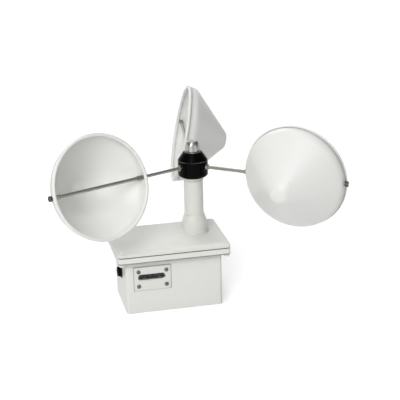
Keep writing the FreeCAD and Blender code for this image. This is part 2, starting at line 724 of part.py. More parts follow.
def cup_outline(o):
    """Half section of the cup, a distance o inside its outer face, as a face in the XZ plane."""
    c = math.cos(math.radians(CONE_HALF_DEG))
    n = math.sin(math.radians(CONE_HALF_DEG))
    reach = c * CUP_SKIRT_R + n * CUP_CORNER_H - o
    r = CUP_SKIRT_R - o
    corner_h = (reach - c * r) / n
    blend = SKIRT_BLEND_R - o
    tangent = blend * math.tan(math.radians(CONE_HALF_DEG) / 2)
    p0 = V(r, 0, corner_h - tangent)
    p2 = V(r - tangent * n, 0, corner_h + tangent * c)
    centre = V(r - blend, 0, corner_h - tangent)
    half = math.radians(CONE_HALF_DEG) / 2
    p1 = centre + V(blend * math.cos(half), 0, blend * math.sin(half))
    edge_h = (reach - c * CONE_EDGE_R) / n
    p3 = V(CONE_EDGE_R, 0, edge_h)
    p5 = V(0, 0, edge_h + TIP_RISE)
    tip_r = (CONE_EDGE_R ** 2 + TIP_RISE ** 2) / (2 * TIP_RISE)
    tip_half = math.asin(CONE_EDGE_R / tip_r) / 2
    p4 = V(tip_r * math.sin(tip_half), 0, edge_h + TIP_RISE - tip_r * (1 - math.cos(tip_half)))
    start = 0.0 if o == 0 else -BEAD_R - OVERCUT
    edges = [
        Part.makeLine(V(0, 0, start), V(r, 0, start)),
        Part.makeLine(V(r, 0, start), p0),
        Part.Arc(p0, p1, p2).toShape(),
        Part.makeLine(p2, p3),
        Part.Arc(p3, p4, p5).toShape(),
        Part.makeLine(p5, V(0, 0, start)),
    ]
    return Part.Face(Part.Wire(edges)).revolve(V(0, 0, 0), V(0, 0, 1), 360)


def cup(k):
    """The cup's own X runs out along the arm and its Z runs to the apex."""
    bead = Part.makeTorus(CUP_DIAMETER / 2 - BEAD_R, BEAD_R)
    s = cup_outline(0.0).cut(cup_outline(CUP_SHEET))
    ring = bead.cut(cyl(CUP_SKIRT_R - CUP_SHEET - BEAD_R, -BEAD_R, BEAD_R))
    s = s.fuse(ring)
    r = CUP_DIAMETER
    s = s.cut(rod(ARM_R, V(-r, 0, ARM_BEHIND_RIM), V(1, 0, 0), 2 * r))
    out, side, up = arm_directions(k)
    t = math.radians(CUP_TWIST_DEG[k])
    apex = side * math.cos(t) - up * math.sin(t)
    rise = up * math.cos(t) + side * math.sin(t)
    origin = V(0, 0, ARM_Z) + out * ARM_RADIUS - apex * ARM_BEHIND_RIM
    return placed(s.removeSplitter(), out, rise, apex, origin)


def cup_hold_r():
    """Where a nut beside the arm meets the outside of the bead."""
    reach = max(ARM_BEHIND_RIM - END_NUT_R, 0.0)
    return CUP_DIAMETER / 2 - BEAD_R + math.sqrt(BEAD_R ** 2 - reach ** 2)


def sleeve_hold_r():
    """Where a sleeve beside the arm meets the inside of the bead."""
    reach = max(ARM_BEHIND_RIM - SLEEVE_AF / math.sqrt(3), 0.0)
    return CUP_DIAMETER / 2 - BEAD_R - math.sqrt(BEAD_R ** 2 - reach ** 2)


def cup_end_nuts():
    nut = cyl(END_NUT_R, 0, END_NUT_L).cut(cyl(ARM_R, -OVERCUT, END_NUT_L - SLOT_D))
    wide = END_NUT_R + OVERCUT
    slot = box(-wide, wide, -SLOT_W / 2, SLOT_W / 2, END_NUT_L - SLOT_D, END_NUT_L + OVERCUT)
    nut = nut.cut(slot)
    return one([on_arm(nut, k, ARM_RADIUS + cup_hold_r(), END_NUT_TURN_DEG * k) for k in range(ARM_COUNT)])


def cup_sleeves():
    s = prism(SLEEVE_AF, 0, SLEEVE_L).cut(cyl(ARM_R, -OVERCUT, SLEEVE_L + OVERCUT))
    near = [on_arm(s, k, ARM_RADIUS - sleeve_hold_r()) for k in range(ARM_COUNT)]
    far = [on_arm(s, k, ARM_RADIUS + sleeve_hold_r() - SLEEVE_L) for k in range(ARM_COUNT)]
    return one(near + far)


def root_hold_r():
    """Where the slim root nut meets the skirt or the bead."""
    reach = max(ARM_BEHIND_RIM - ARM_R - ROOT_NUT_WALL, 0.0)
    bulge = math.sqrt(max(BEAD_R ** 2 - reach ** 2, 0.0))
    return max(CUP_SKIRT_R, CUP_DIAMETER / 2 - BEAD_R + bulge)


def cup_root_nuts():
    s = cyl(ARM_R + ROOT_NUT_WALL, 0, ROOT_NUT_L).cut(cyl(ARM_R, -OVERCUT, ROOT_NUT_L + OVERCUT))
    return one([on_arm(s, k, ARM_RADIUS - root_hold_r() - ROOT_NUT_L) for k in range(ARM_COUNT)])


# ---- window ----------------------------------------------------------------------
def window_plate():
    s = slab(-PLATE_W / 2, PLATE_W / 2, -PLATE_H / 2, PLATE_H / 2, PLATE_CORNER_R, 0, PLATE_T)
    hole = obround(SLOT_L, SLOT_H, -OVERCUT, PLATE_T + OVERCUT)
    hole = hole.fuse(obround_cone(SLOT_L, SLOT_H, SLOT_CHAMFER, PLATE_T - SLOT_CHAMFER, PLATE_T))
    hole.translate(V(SLOT_X - PLATE_X, SLOT_Z - PLATE_Z, 0))
    s = s.cut(hole)
    for x, z in window_screw_points():
        s = s.cut(cyl(WIN_SCREW_R, -OVERCUT, PLATE_T + OVERCUT, x - PLATE_X, z - PLATE_Z))
    return along_minus_y(s, PLATE_X, BOX_Y0, PLATE_Z)


def window_screws():
    screw = pan_screw(WIN_SCREW_R, PLATE_T + WIN_SCREW_BITE, WIN_SCREW_HEAD_R, WIN_SCREW_HEAD_H)
    y = BOX_Y0 - PLATE_T
    spots = zip(window_screw_points(), WIN_SCREW_TURNS_DEG)
    return one([turned_screw(screw, turn, x, y, z) for (x, z), turn in spots])


def turned_screw(screw, turn_deg, x, y, z):
    t = math.radians(turn_deg)
    x_to = V(math.cos(t), 0, math.sin(t))
    z_to = V(0, -1, 0)
    return placed(screw, x_to, z_to.cross(x_to), z_to, V(x, y, z))


def window_glass():
    m = 2 * POCKET_MARGIN - EASY
    pane = obround(SLOT_L + m, SLOT_H + m, -PANE_T, 0)
    return along_minus_y(pane, SLOT_X, BOX_Y0, SLOT_Z)


def window_gasket():
    m = 2 * POCKET_MARGIN - EASY
    ring = obround(SLOT_L + m, SLOT_H + m, -POCKET_DEPTH, -PANE_T)
    ring = ring.cut(obround(SLOT_L, SLOT_H, -POCKET_DEPTH - OVERCUT, OVERCUT))
    return along_minus_y(ring, SLOT_X, BOX_Y0, SLOT_Z)


# ---- cable gland -----------------------------------------------------------------
def gland_seal():
    s = cyl(GLAND_SEAL_R, 0, GLAND_SEAL_T).cut(cyl(GLAND_R, -OVERCUT, GLAND_SEAL_T + OVERCUT))
    return along_minus_x(s, BOX_X0, GLAND_Y, GLAND_Z)


def gland_body():
    collar = GLAND_SEAL_T + GLAND_COLLAR_T
    s = cyl(GLAND_R, -WALL - GLAND_TAIL, collar + GLAND_THREAD_L)
    s = s.fuse(cyl(GLAND_COLLAR_R, GLAND_SEAL_T, collar))
    s = s.cut(cyl(GLAND_BORE_R, -WALL - GLAND_TAIL - OVERCUT, collar + GLAND_THREAD_L + OVERCUT))
    return along_minus_x(s.removeSplitter(), BOX_X0, GLAND_Y, GLAND_Z)


def gland_cap():
    z0 = GLAND_SEAL_T + GLAND_COLLAR_T
    s = turned([
        (GLAND_R, z0),
        (GLAND_CAP_R, z0),
        (GLAND_CAP_R, z0 + GLAND_CAP_L - GLAND_CAP_CHAMFER),
        (GLAND_CAP_R - GLAND_CAP_CHAMFER, z0 + GLAND_CAP_L),
        (GLAND_CAP_HOLE_R, z0 + GLAND_CAP_L),
        (GLAND_CAP_HOLE_R, z0 + GLAND_THREAD_L),
        (GLAND_R, z0 + GLAND_THREAD_L),
    ])
    return along_minus_x(s, BOX_X0, GLAND_Y, GLAND_Z)


def gland_insert():
    z1 = GLAND_SEAL_T + GLAND_COLLAR_T + GLAND_THREAD_L
    s = cyl(GLAND_BORE_R, z1 - GLAND_INSERT_L, z1)
    s = s.cut(cyl(GLAND_INSERT_HOLE_R, z1 - GLAND_INSERT_L - OVERCUT, z1 + OVERCUT))
    return along_minus_x(s, BOX_X0, GLAND_Y, GLAND_Z)


def gland_lock_nut():
    s = prism(GLAND_NUT_AF, -WALL - GLAND_NUT_T, -WALL)
    s = s.cut(cyl(GLAND_R, -WALL - GLAND_NUT_T - OVERCUT, OVERCUT))
    return along_minus_x(s, BOX_X0, GLAND_Y, GLAND_Z)


# ---- counter ---------------------------------------------------------------------
def involute(angle):
    return math.tan(angle) - angle


def gear_face(module, teeth, backlash, addendum=1.0, dedendum=1.25, first_deg=0.0, only=None):
    """A spur-gear outline with a tooth centred on the first angle; 'only' keeps some teeth."""
    pitch_r = module * teeth / 2
    tip_r = pitch_r + addendum * module
    root_r = pitch_r - dedendum * module
    press = math.radians(PRESSURE_DEG)
    base_r = pitch_r * math.cos(press)
    half = math.pi / (2 * teeth) - backlash / (2 * pitch_r)
    radii = [max(base_r, root_r) + (tip_r - max(base_r, root_r)) * i / 4 for i in range(5)]
    flank = [(root_r, half + involute(press) - involute(math.acos(min(1.0, base_r / radii[0]))))]
    flank += [(r, half + involute(press) - involute(math.acos(min(1.0, base_r / r)))) for r in radii]
    points = []
    for i in range(teeth):
        middle = math.radians(first_deg) + 2 * math.pi * i / teeth
        if only is not None and i not in only:
            gap = math.pi / teeth
            points += [(root_r, middle - gap * f) for f in (0.9, 0.3, -0.3, -0.9)]
            continue
        points += [(r, middle - w) for r, w in flank]
        points += [(r, middle + w) for r, w in reversed(flank)]
    corners = []
    for r, a in points:
        p = V(r * math.cos(a), r * math.sin(a), 0)
        if not corners or (p - corners[-1]).Length > 1e-4:
            corners.append(p)
    return Part.Face(Part.makePolygon(corners + [corners[0]]))


def gear(module, teeth, width, bore, **kw):
    s = gear_face(module, teeth, BACKLASH, **kw).extrude(V(0, 0, width))
    return s.cut(cyl(bore, -OVERCUT, width + OVERCUT))


def frame_screw_points():
    i = FRAME_SCREW_INSET
    back = FRAME_Y1 - i
    front = FRAME_Y0 + i
    return [(FRAME_X0 + i, front), (FRAME_X0 + i, back), (FRAME_X1 - i, front), (MID_PLATE_X / 2, back)]


def counter_frame():
    s = box(FRAME_X0, FRAME_X1, FRAME_Y0, FRAME_Y1, FRAME_Z0, FRAME_Z1)
    drum_top = DRUM_Z + CARRY_DISTANCE + FRAME_OVER_PINION
    shaft_top = SHAFT_Z + FRAME_OVER_SHAFT
    front = SHAFT_Y - FRAME_BESIDE_SHAFT
    back = SHAFT_Y + FRAME_BESIDE_SHAFT
    behind_drum = DRUM_Y + FRAME_BESIDE_SHAFT
    s = s.fuse(box(FRAME_X0, FRAME_X0 + FRAME_T, FRAME_Y0, behind_drum, FRAME_Z0, drum_top))
    s = s.fuse(box(MID_PLATE_X, MID_PLATE_X + FRAME_T, FRAME_Y0, back, FRAME_Z0, drum_top))
    s = s.fuse(box(RIGHT_PLATE_X, RIGHT_PLATE_X + FRAME_T, front, back, FRAME_Z0, shaft_top))
    length = FRAME_X1 - FRAME_X0 + 2 * OVERCUT
    left = FRAME_X0 - OVERCUT
    drum_half = MID_PLATE_X + FRAME_T + OVERCUT - left
    s = s.cut(rod(DRUM_AXLE_R, V(left, DRUM_Y, DRUM_Z), V(1, 0, 0), drum_half))
    s = s.cut(rod(PINION_AXLE_R, V(left, DRUM_Y, DRUM_Z + CARRY_DISTANCE), V(1, 0, 0), drum_half))
    s = s.cut(rod(BUSH_R, V(MID_PLATE_X - OVERCUT, SHAFT_Y, SHAFT_Z), V(1, 0, 0), length))
    s = s.cut(cyl(FOOT_BUSH_R, FRAME_Z0 - OVERCUT, FRAME_Z1 + OVERCUT))
    for x, y in frame_screw_points():
        s = s.cut(cyl(FRAME_SCREW_R, FRAME_Z0 - OVERCUT, FRAME_Z1 + OVERCUT, x, y))
    return s.removeSplitter()


def frame_screws():
    screw = pan_screw(FRAME_SCREW_R, FRAME_T + BOSS_H, FRAME_SCREW_HEAD_R, FRAME_SCREW_HEAD_H)
    out = []
    for x, y in frame_screw_points():
        s = screw.copy()
        s.translate(V(x, y, FRAME_Z1))
        out.append(s)
    return one(out)


def shaft_bushes():
    s = cyl(BUSH_R, 0, FRAME_T).fuse(cyl(BUSH_FLANGE_R, FRAME_T, FRAME_T + BUSH_FLANGE_T))
    s = s.cut(cyl(SHAFT_R + RUN_FIT, -OVERCUT, FRAME_T + BUSH_FLANGE_T + OVERCUT)).removeSplitter()
    return one([along_x(s, MID_PLATE_X, SHAFT_Y, SHAFT_Z), along_x(s, RIGHT_PLATE_X, SHAFT_Y, SHAFT_Z)])


def foot_bush():
    s = cyl(FOOT_BUSH_R, FRAME_Z0, FRAME_Z0 + FOOT_BUSH_H)
    z0 = SPINDLE_END_Z - FOOT_BUSH_SUMP
    return s.cut(cyl(SPINDLE_LOW_R + RUN_FIT, z0, FRAME_Z0 + FOOT_BUSH_H + OVERCUT))


def frame_axle(r, z):
    x0 = FRAME_X0 - AXLE_STUB
    x1 = MID_PLATE_X + FRAME_T + AXLE_STUB
    return rod(r, V(x0, DRUM_Y, z), V(1, 0, 0), x1 - x0)


def drum_axle():
    return frame_axle(DRUM_AXLE_R, DRUM_Z)


def pinion_axle():
    return frame_axle(PINION_AXLE_R, DRUM_Z + CARRY_DISTANCE)


def worm():
    root_r = WORM_PITCH_R - WORM_DEPTH
    start = SHAFT_Z - (math.floor(WORM_TURNS / 2) + 0.75) * WORM_LEAD
    height = WORM_TURNS * WORM_LEAD
    slope = math.tan(math.radians(PRESSURE_DEG))
    half = WORM_LEAD / 4 - BACKLASH / 2
    tip_r = WORM_PITCH_R + WHEEL_MODULE
    sink = root_r - THREAD_SINK
    low = half + (WORM_PITCH_R - sink) * slope
    high = half - (tip_r - WORM_PITCH_R) * slope
    profile = Part.makePolygon([
        V(sink, 0, start - low),
        V(tip_r, 0, start - high),
        V(tip_r, 0, start + high),
        V(sink, 0, start + low),
        V(sink, 0, start - low),
    ])
    helix = Part.makeHelix(WORM_LEAD, height, WORM_PITCH_R)
    helix.translate(V(0, 0, start))
    thread = Part.Wire(helix).makePipeShell([profile], True, True)
    if thread.Volume < 0:
        thread.reverse()
    z0 = SHAFT_Z - WORM_L / 2
    s = cyl(root_r, z0, z0 + WORM_L).fuse(thread)
    s = s.common(cyl(tip_r + OVERCUT, z0, z0 + WORM_L))
    return s.cut(cyl(SPINDLE_LOW_R, z0 - OVERCUT, z0 + WORM_L + OVERCUT))


def worm_wheel():
    gap = 180.0 / WHEEL_TEETH
    s = gear(WHEEL_MODULE, WHEEL_TEETH, WHEEL_W, SHAFT_R, addendum=0.9, dedendum=1.3, first_deg=gap)
    top = WHEEL_W + WHEEL_BOSS_L
    boss = cyl(2.2 * SHAFT_R, WHEEL_W, top).cut(cyl(SHAFT_R, 0, top + OVERCUT))
    for i in range(WHEEL_HOLES):
        a = 2 * math.pi * i / WHEEL_HOLES
        x = WHEEL_HOLE_PCR * math.cos(a)
        y = WHEEL_HOLE_PCR * math.sin(a)
        s = s.cut(cyl(WHEEL_HOLE_R, -OVERCUT, WHEEL_W + OVERCUT, x, y))
    return along_x(s.fuse(boss).removeSplitter(), -WHEEL_W / 2, SHAFT_Y, SHAFT_Z)


def wheel_shaft():
    x0 = GEAR_X0 - GEAR_GAP
    x1 = RIGHT_PLATE_X + FRAME_T + SHAFT_TAIL
    return rod(SHAFT_R, V(x0, SHAFT_Y, SHAFT_Z), V(1, 0, 0), x1 - x0)


def mesh_deg():
    return math.degrees(math.atan2(DRUM_Z - SHAFT_Z, DRUM_Y - SHAFT_Y))


def drive_gear():
    s = gear(GEAR_MODULE, GEAR_TEETH, GEAR_W, SHAFT_R, first_deg=mesh_deg())
    return along_x(s, GEAR_X0, SHAFT_Y, SHAFT_Z)


def drum_gear():
    gap = mesh_deg() + 180.0 + 180.0 / GEAR_TEETH
    s = gear(GEAR_MODULE, GEAR_TEETH, GEAR_W, DRUM_AXLE_R + RUN_FIT, first_deg=gap)
    neck = cyl(DRUM_HUB_R, -GEAR_GAP, 0)
    neck = neck.cut(cyl(DRUM_AXLE_R + RUN_FIT, -2 * OVERCUT, OVERCUT))
    return along_x(s.fuse(neck).removeSplitter(), GEAR_X0, DRUM_Y, DRUM_Z)


def drum(i):
    """Figure drum i, counted from the fastest at the right; its own Z runs along +X."""
    right = DRUM_PITCH
    ring0 = right - DRUM_TEETH_W
    rim0 = ring0 - DRUM_RIM_W
    carry0 = rim0 - DRUM_TEETH_W
    s = cyl(DRUM_R, rim0, ring0)
    low = carry0 if i < DRUM_COUNT - 1 else rim0
    high = right if i > 0 else ring0
    s = s.fuse(cyl(DRUM_CORE_R, low, high))
    if i > 0:
        step = 180.0 / CARRY_TEETH
        ring = gear_face(CARRY_MODULE, CARRY_TEETH, BACKLASH, 0.8, 1.2, PINION_DIRECTION_DEG + step)
        ring = ring.extrude(V(0, 0, DRUM_TEETH_W))
        ring.translate(V(0, 0, ring0))
        s = s.fuse(ring)
    if i < DRUM_COUNT - 1:
        away = PINION_DIRECTION_DEG + 180.0 + 180.0 / CARRY_TEETH
        pair = gear_face(CARRY_MODULE, CARRY_TEETH, BACKLASH, 0.8, 1.2, away, (0, CARRY_TEETH - 1))
        pair = pair.extrude(V(0, 0, DRUM_TEETH_W))
        pair.translate(V(0, 0, carry0))
        s = s.fuse(pair)
    if i == 0:
        s = s.fuse(cyl(DRUM_HUB_R, ring0 - OVERCUT, right))
    s = s.cut(cyl(DRUM_AXLE_R + RUN_FIT, -OVERCUT, right + OVERCUT)).removeSplitter()
    return along_x(s, DRUMS_X1 - DRUM_PITCH * (i + 1), DRUM_Y, DRUM_Z)


def carry_pinion(i):
    """Pinion between drum i and drum i + 1."""
    slot0 = DRUMS_X1 - DRUM_PITCH * (i + 1) - DRUM_TEETH_W
    slot1 = DRUMS_X1 - DRUM_PITCH * i - DRUM_TEETH_W - DRUM_RIM_W
    bore = PINION_AXLE_R + RUN_FIT
    first = PINION_DIRECTION_DEG + 180.0
    s = gear(CARRY_MODULE, PINION_TEETH, PINION_W, bore, addendum=0.7, dedendum=1.0, first_deg=first)
    return along_x(s, (slot0 + slot1 - PINION_W) / 2, DRUM_Y, DRUM_Z + CARRY_DISTANCE)


def nodes():
    low = lower_bearing_z()
    high = upper_bearing_z()
    out = {
        "box_body": box_body(),
        "lid_gasket": lid_gasket(),
        "lid": lid(),
        "lid_screws": lid_screws(),
        "pedestal": pedestal(),
        "pedestal_screws": pedestal_screws(),
        "pedestal_grub": pedestal_grub(),
        "column_tube": column_tube(),
        "bearing_cap": bearing_cap(),
        "bearing_retainer": bearing_retainer(),
        "upper_outer_race": outer_race(high),
        "upper_inner_race": inner_race(high),
        "upper_balls": balls(high),
        "upper_cage": ball_cage(high),
        "lower_outer_race": outer_race(low),
        "lower_inner_race": inner_race(low),
        "lower_balls": balls(low),
        "lower_cage": ball_cage(low),
        "spindle": spindle(),
        "spindle_clip": spindle_clip(),
        "hub": hub(),
        "hub_lock_nuts": hub_lock_nuts(),
        "cap_washer": cap_washer(),
        "cap_nut": cap_nut(),
        "arms": arms(),
        "cup_sleeves": cup_sleeves(),
        "cup_end_nuts": cup_end_nuts(),
        "cup_root_nuts": cup_root_nuts(),
        "window_plate": window_plate(),
        "window_screws": window_screws(),
        "window_glass": window_glass(),
        "window_gasket": window_gasket(),
        "gland_seal": gland_seal(),
        "gland_body": gland_body(),
        "gland_cap": gland_cap(),
        "gland_insert": gland_insert(),
        "gland_lock_nut": gland_lock_nut(),
        "counter_frame": counter_frame(),
        "frame_screws": frame_screws(),
        "shaft_bushes": shaft_bushes(),
        "foot_bush": foot_bush(),
        "drum_axle": drum_axle(),
        "pinion_axle": pinion_axle(),
        "worm": worm(),
        "worm_wheel": worm_wheel(),
        "wheel_shaft": wheel_shaft(),
        "drive_gear": drive_gear(),
        "drum_gear": drum_gear(),
    }
    for k in range(ARM_COUNT):
        out["cup_" + "abc"[k]] = cup(k)
    for i in range(DRUM_COUNT):
        out["drum_%d" % (i + 1)] = drum(i)
    for i in range(DRUM_COUNT - 1):
        out["carry_pinion_%d" % (i + 1)] = carry_pinion(i)
    return out


os.makedirs("parts", exist_ok=True)
for name, shape in nodes().items():
    shape.exportStep("parts/" + name + ".step")
    print(name, len(shape.Solids), round(shape.Volume, 1), shape.isValid())
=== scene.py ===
import bpy
import bmesh
import json
import math
from mathutils import Matrix, Vector


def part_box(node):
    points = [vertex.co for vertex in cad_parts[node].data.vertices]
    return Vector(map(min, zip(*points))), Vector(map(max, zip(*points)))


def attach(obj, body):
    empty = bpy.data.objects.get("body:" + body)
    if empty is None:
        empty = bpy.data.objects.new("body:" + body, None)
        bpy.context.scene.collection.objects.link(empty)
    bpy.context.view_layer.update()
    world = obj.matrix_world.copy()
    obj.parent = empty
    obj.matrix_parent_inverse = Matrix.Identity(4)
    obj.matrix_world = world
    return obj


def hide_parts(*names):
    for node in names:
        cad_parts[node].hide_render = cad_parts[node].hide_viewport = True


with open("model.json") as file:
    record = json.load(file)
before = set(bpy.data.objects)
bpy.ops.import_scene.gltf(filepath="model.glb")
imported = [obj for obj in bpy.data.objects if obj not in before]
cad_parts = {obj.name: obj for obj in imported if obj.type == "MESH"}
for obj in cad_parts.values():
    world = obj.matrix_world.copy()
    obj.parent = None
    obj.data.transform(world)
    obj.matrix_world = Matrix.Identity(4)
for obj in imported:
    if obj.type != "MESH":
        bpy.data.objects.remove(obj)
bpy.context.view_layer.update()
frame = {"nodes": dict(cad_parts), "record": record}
NODES = frame["nodes"]
BODY = {n: b for b, ns in frame["record"]["behaviour"]["bodies"].items() for n in ns}
MM = 0.001


def lo(node):
    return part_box(node)[0] / MM


def hi(node):
    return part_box(node)[1] / MM


# ---- sizes read from the CAD nodes, millimetres ----------
TUBE_R = hi("column_tube").x
TUBE_TOP = hi("column_tube").z
LID_LOW = lo("lid")
LID_HIGH = hi("lid")
BOX_LOW = lo("box_body")
BOX_HIGH = hi("box_body")
PED_R = hi("pedestal").x
CAP_R = hi("bearing_cap").x
CAP_TOP = hi("bearing_cap").z
HUB_SEAT = lo("hub").z
HUB_HIGH = hi("hub").z
HUB_R = hi("hub").y
PLATE_LOW = lo("window_plate")
PLATE_HIGH = hi("window_plate")
NUT_LOW = lo("cap_nut").z
NUT_HIGH = hi("cap_nut").z
GLASS_LOW = lo("window_glass")
GLASS_HIGH = hi("window_glass")
SEAL_LOW = lo("gland_seal")
SEAL_HIGH = hi("gland_seal")

# ---- box, lid and window, the same numbers as the CAD ----
# Insets run inward from the flange's outer edge. CORE is where one flat face closes a floor.
WALL = 3.5
FLOOR = 4.0
OVERHANG = 9.2
FLANGE_UNDER = 68.0
SEAM_Z = BOX_HIGH.z
IN_WALL = OVERHANG + WALL
CORE = 17.0
BOX_X0 = BOX_LOW.x + OVERHANG
BOX_Y0 = BOX_LOW.y + OVERHANG
FIX_HOLES_X = (9.8, 109.8)
FIX_HOLES_Y = (11.3, 67.8)
FIX_HOLE_R = 2.75
LID_SCREW_R = 2.0
LID_SCREW_DEPTH = 3.5
LID_UNDER = LID_HIGH.z - 2.9
BEVEL = 5.0
EDGE_Z = LID_HIGH.z - 2.2
PANE_MARGIN = 2.2
POCKET = PANE_MARGIN + 0.2
SLOT_L = GLASS_HIGH.x - GLASS_LOW.x - PANE_MARGIN
SLOT_H = GLASS_HIGH.z - GLASS_LOW.z - PANE_MARGIN
SLOT_X = (GLASS_HIGH.x + GLASS_LOW.x) / 2
SLOT_Z = (GLASS_HIGH.z + GLASS_LOW.z) / 2
SLOT_CHAMFER = 1.2
PLATE_X = (PLATE_LOW.x + PLATE_HIGH.x) / 2
PLATE_Z = (PLATE_LOW.z + PLATE_HIGH.z) / 2
PLATE_W = PLATE_HIGH.x - PLATE_LOW.x
PLATE_H = PLATE_HIGH.z - PLATE_LOW.z
PLATE_T = PLATE_HIGH.y - PLATE_LOW.y
SCREW_PITCH = (34.0, 18.6)
SCREW_R = 2.5
SCREW_H = 1.6
SCREW_STEM_R = 1.25
SCREW_STEM_L = 4.3
SCREW_TURNS = (20.0, 65.0, -30.0, 80.0)
SLOT_WIDTH = 1.0
GLAND_Y = (SEAL_LOW.y + SEAL_HIGH.y) / 2
GLAND_Z = (SEAL_LOW.z + SEAL_HIGH.z) / 2
GLAND_R = 5.0

# ---- column, heights of the foot from the lid ------------
RACE_R = TUBE_R - 2.25
COLUMN_BORE = RACE_R - 1.0
UPPER_RACE_H = 6.8
LOWER_RACE_H = 7.5
COLLAR_BORE = 7.5
COLLAR_STEP = 0.35
FOOT_RIM_T = 1.8
FOOT_CONE_H = 15.5
FOOT_H = 23.0
GRUB_Z = 9.5
GRUB_R = 2.0

# ---- rotor, with the cups measured from the middle of their beads ----
# BEAD_INSIDE keeps the visual bead inside the CAD's, and so inside its box.
ARM_Z = 167.5
ARM_RADIUS = 132.5
ARM_R = 2.0
ARM_START_R = 8.5
FIRST_ARM_DEG = 202.3
CUP_TWIST_DEG = (19.0, 12.0, 5.0)
ARM_BEHIND_RIM = 4.8
CUP_R = 63.5
BEAD_R = 2.2
BEAD_INSIDE = 0.001
SHEET = 1.0
SKIRT_R = 62.0
SKIRT_START = 3.1
CORNER_H = 10.08
CONE_HALF = math.radians(47.1)
CONE_EDGE_R = 9.9
BLEND_R = 13.0
TIP_RISE = 1.7
SPINDLE_R = 4.0
HUB_LOW = CAP_TOP - 2.2
HUB_SHOULDER = HUB_LOW + 20.6
HUB_FLAT_R = HUB_R - 0.8
HUB_FLAT_W = 9.6
HUB_BOSS_R = 6.5
HUB_RIM_T = 3.7
HUB_HOLLOW_H = 4.2
HUB_TOP_R = HUB_R - 6.7
LOCK_FLATS = 7.0
LOCK_H = 3.2
CAP_FLATS = 15.4
CAP_CHAMFER = 0.7
CAP_SIDE_H = 4.7
CAP_TIP_R = CAP_FLATS / 2 - 1.7
CAP_TIP_ROUND = 1.2
CAP_BORE_H = 8.0
SLEEVE_FLATS = 4.7
SLEEVE_L = 9.0
END_NUT_R = 3.4
END_NUT_L = 3.4
END_NUT_BORE_L = END_NUT_L - 1.0
ROOT_NUT_R = 2.7
ROOT_NUT_L = 2.4


def bead_reach(fitting_r):
    """How far the bead stands out beside a fitting of this radius on the arm."""
    reach = max(ARM_BEHIND_RIM - fitting_r, 0.0)
    return math.sqrt(max(BEAD_R ** 2 - reach ** 2, 0.0))


BEAD_CENTRE = CUP_R - BEAD_R
END_NUT_AT = BEAD_CENTRE + bead_reach(END_NUT_R)
SLEEVE_AT = BEAD_CENTRE - bead_reach(SLEEVE_FLATS / math.sqrt(3))
ROOT_NUT_AT = max(SKIRT_R, BEAD_CENTRE + bead_reach(ROOT_NUT_R))
ARM_LENGTH = ARM_RADIUS + END_NUT_AT + END_NUT_BORE_L - ARM_START_R

# ---- mesh helpers ----------------------------------------
HOME = Matrix()
TIP = 1e-6
SHARP_DEG = 32.0
NUT_SHARP_DEG = 24.0
CUP_SHARP_DEG = 28.0


def put(name, data):
    """A new object in the scene."""
    obj = bpy.data.objects.new(name, data)
    bpy.context.scene.collection.objects.link(obj)
    return obj


def mesh_from(name, bm):
    mesh = bpy.data.meshes.new(name)
    bm.to_mesh(mesh)
    bm.free()
    return mesh


def smooth(mesh, degrees):
    """Smooth faces, but sharp edges where the surface turns by more than this angle."""
    mesh.polygons.foreach_set("use_smooth", [True] * len(mesh.polygons))
    mesh.set_sharp_from_angle(angle=math.radians(degrees))


def finish_mesh(name, bm, matrix=HOME, sharp=SHARP_DEG):
    """An object in metres with consistent normals, smooth except at real edges."""
    bmesh.ops.remove_doubles(bm, verts=bm.verts, dist=1e-5)
    bmesh.ops.recalc_face_normals(bm, faces=bm.faces)
    mesh = mesh_from(name, bm)
    mesh.transform(Matrix.Scale(MM, 4) @ matrix)
    smooth(mesh, sharp)
    return put(name, mesh)


def placed(obj, place):
    """A finished mesh carried to a place given in millimetres."""
    obj.data.transform(Matrix.Scale(MM, 4) @ place @ Matrix.Scale(1 / MM, 4))
    return obj


def joined(name, objects):
    """Several meshes as one object."""
    bm = bmesh.new()
    for o in objects:
        bm.from_mesh(o.data)
        bpy.data.objects.remove(o)
    return put(name, mesh_from(name, bm))


def carve(obj, cutters):
    """The object less each cutter; the cutters are removed."""
    for cutter in cutters:
        cut = obj.modifiers.new("cut", "BOOLEAN")
        cut.operation = "DIFFERENCE"
        cut.solver = "EXACT"
        cut.object = cutter
    graph = bpy.context.evaluated_depsgraph_get()
    mesh = bpy.data.meshes.new_from_object(obj.evaluated_get(graph))
    obj.modifiers.clear()
    obj.data = mesh
    smooth(mesh, SHARP_DEG)
    for cutter in cutters:
        bpy.data.objects.remove(cutter)
    return obj


def level(obj):
    """Flat faces keep a flat shade beside their fillets."""
    shade_fix = obj.modifiers.new("flat shade", "WEIGHTED_NORMAL")
    shade_fix.keep_sharp = True
    shade_fix.weight = 80
    return obj


def straight(start, end, count):
    """Outline points evenly along a line, with both its ends."""
    (a0, b0), (a1, b1) = start, end
    return [(a0 + (a1 - a0) * i / count, b0 + (b1 - b0) * i / count, 0) for i in range(count + 1)]


def arc(centre, radius, start, end, count):
    """Outline points along an arc from one angle to another, in radians."""
    turns = [start + (end - start) * i / count for i in range(count + 1)]
    return [(centre[0] + radius * math.cos(a), centre[1] + radius * math.sin(a), 0) for a in turns]


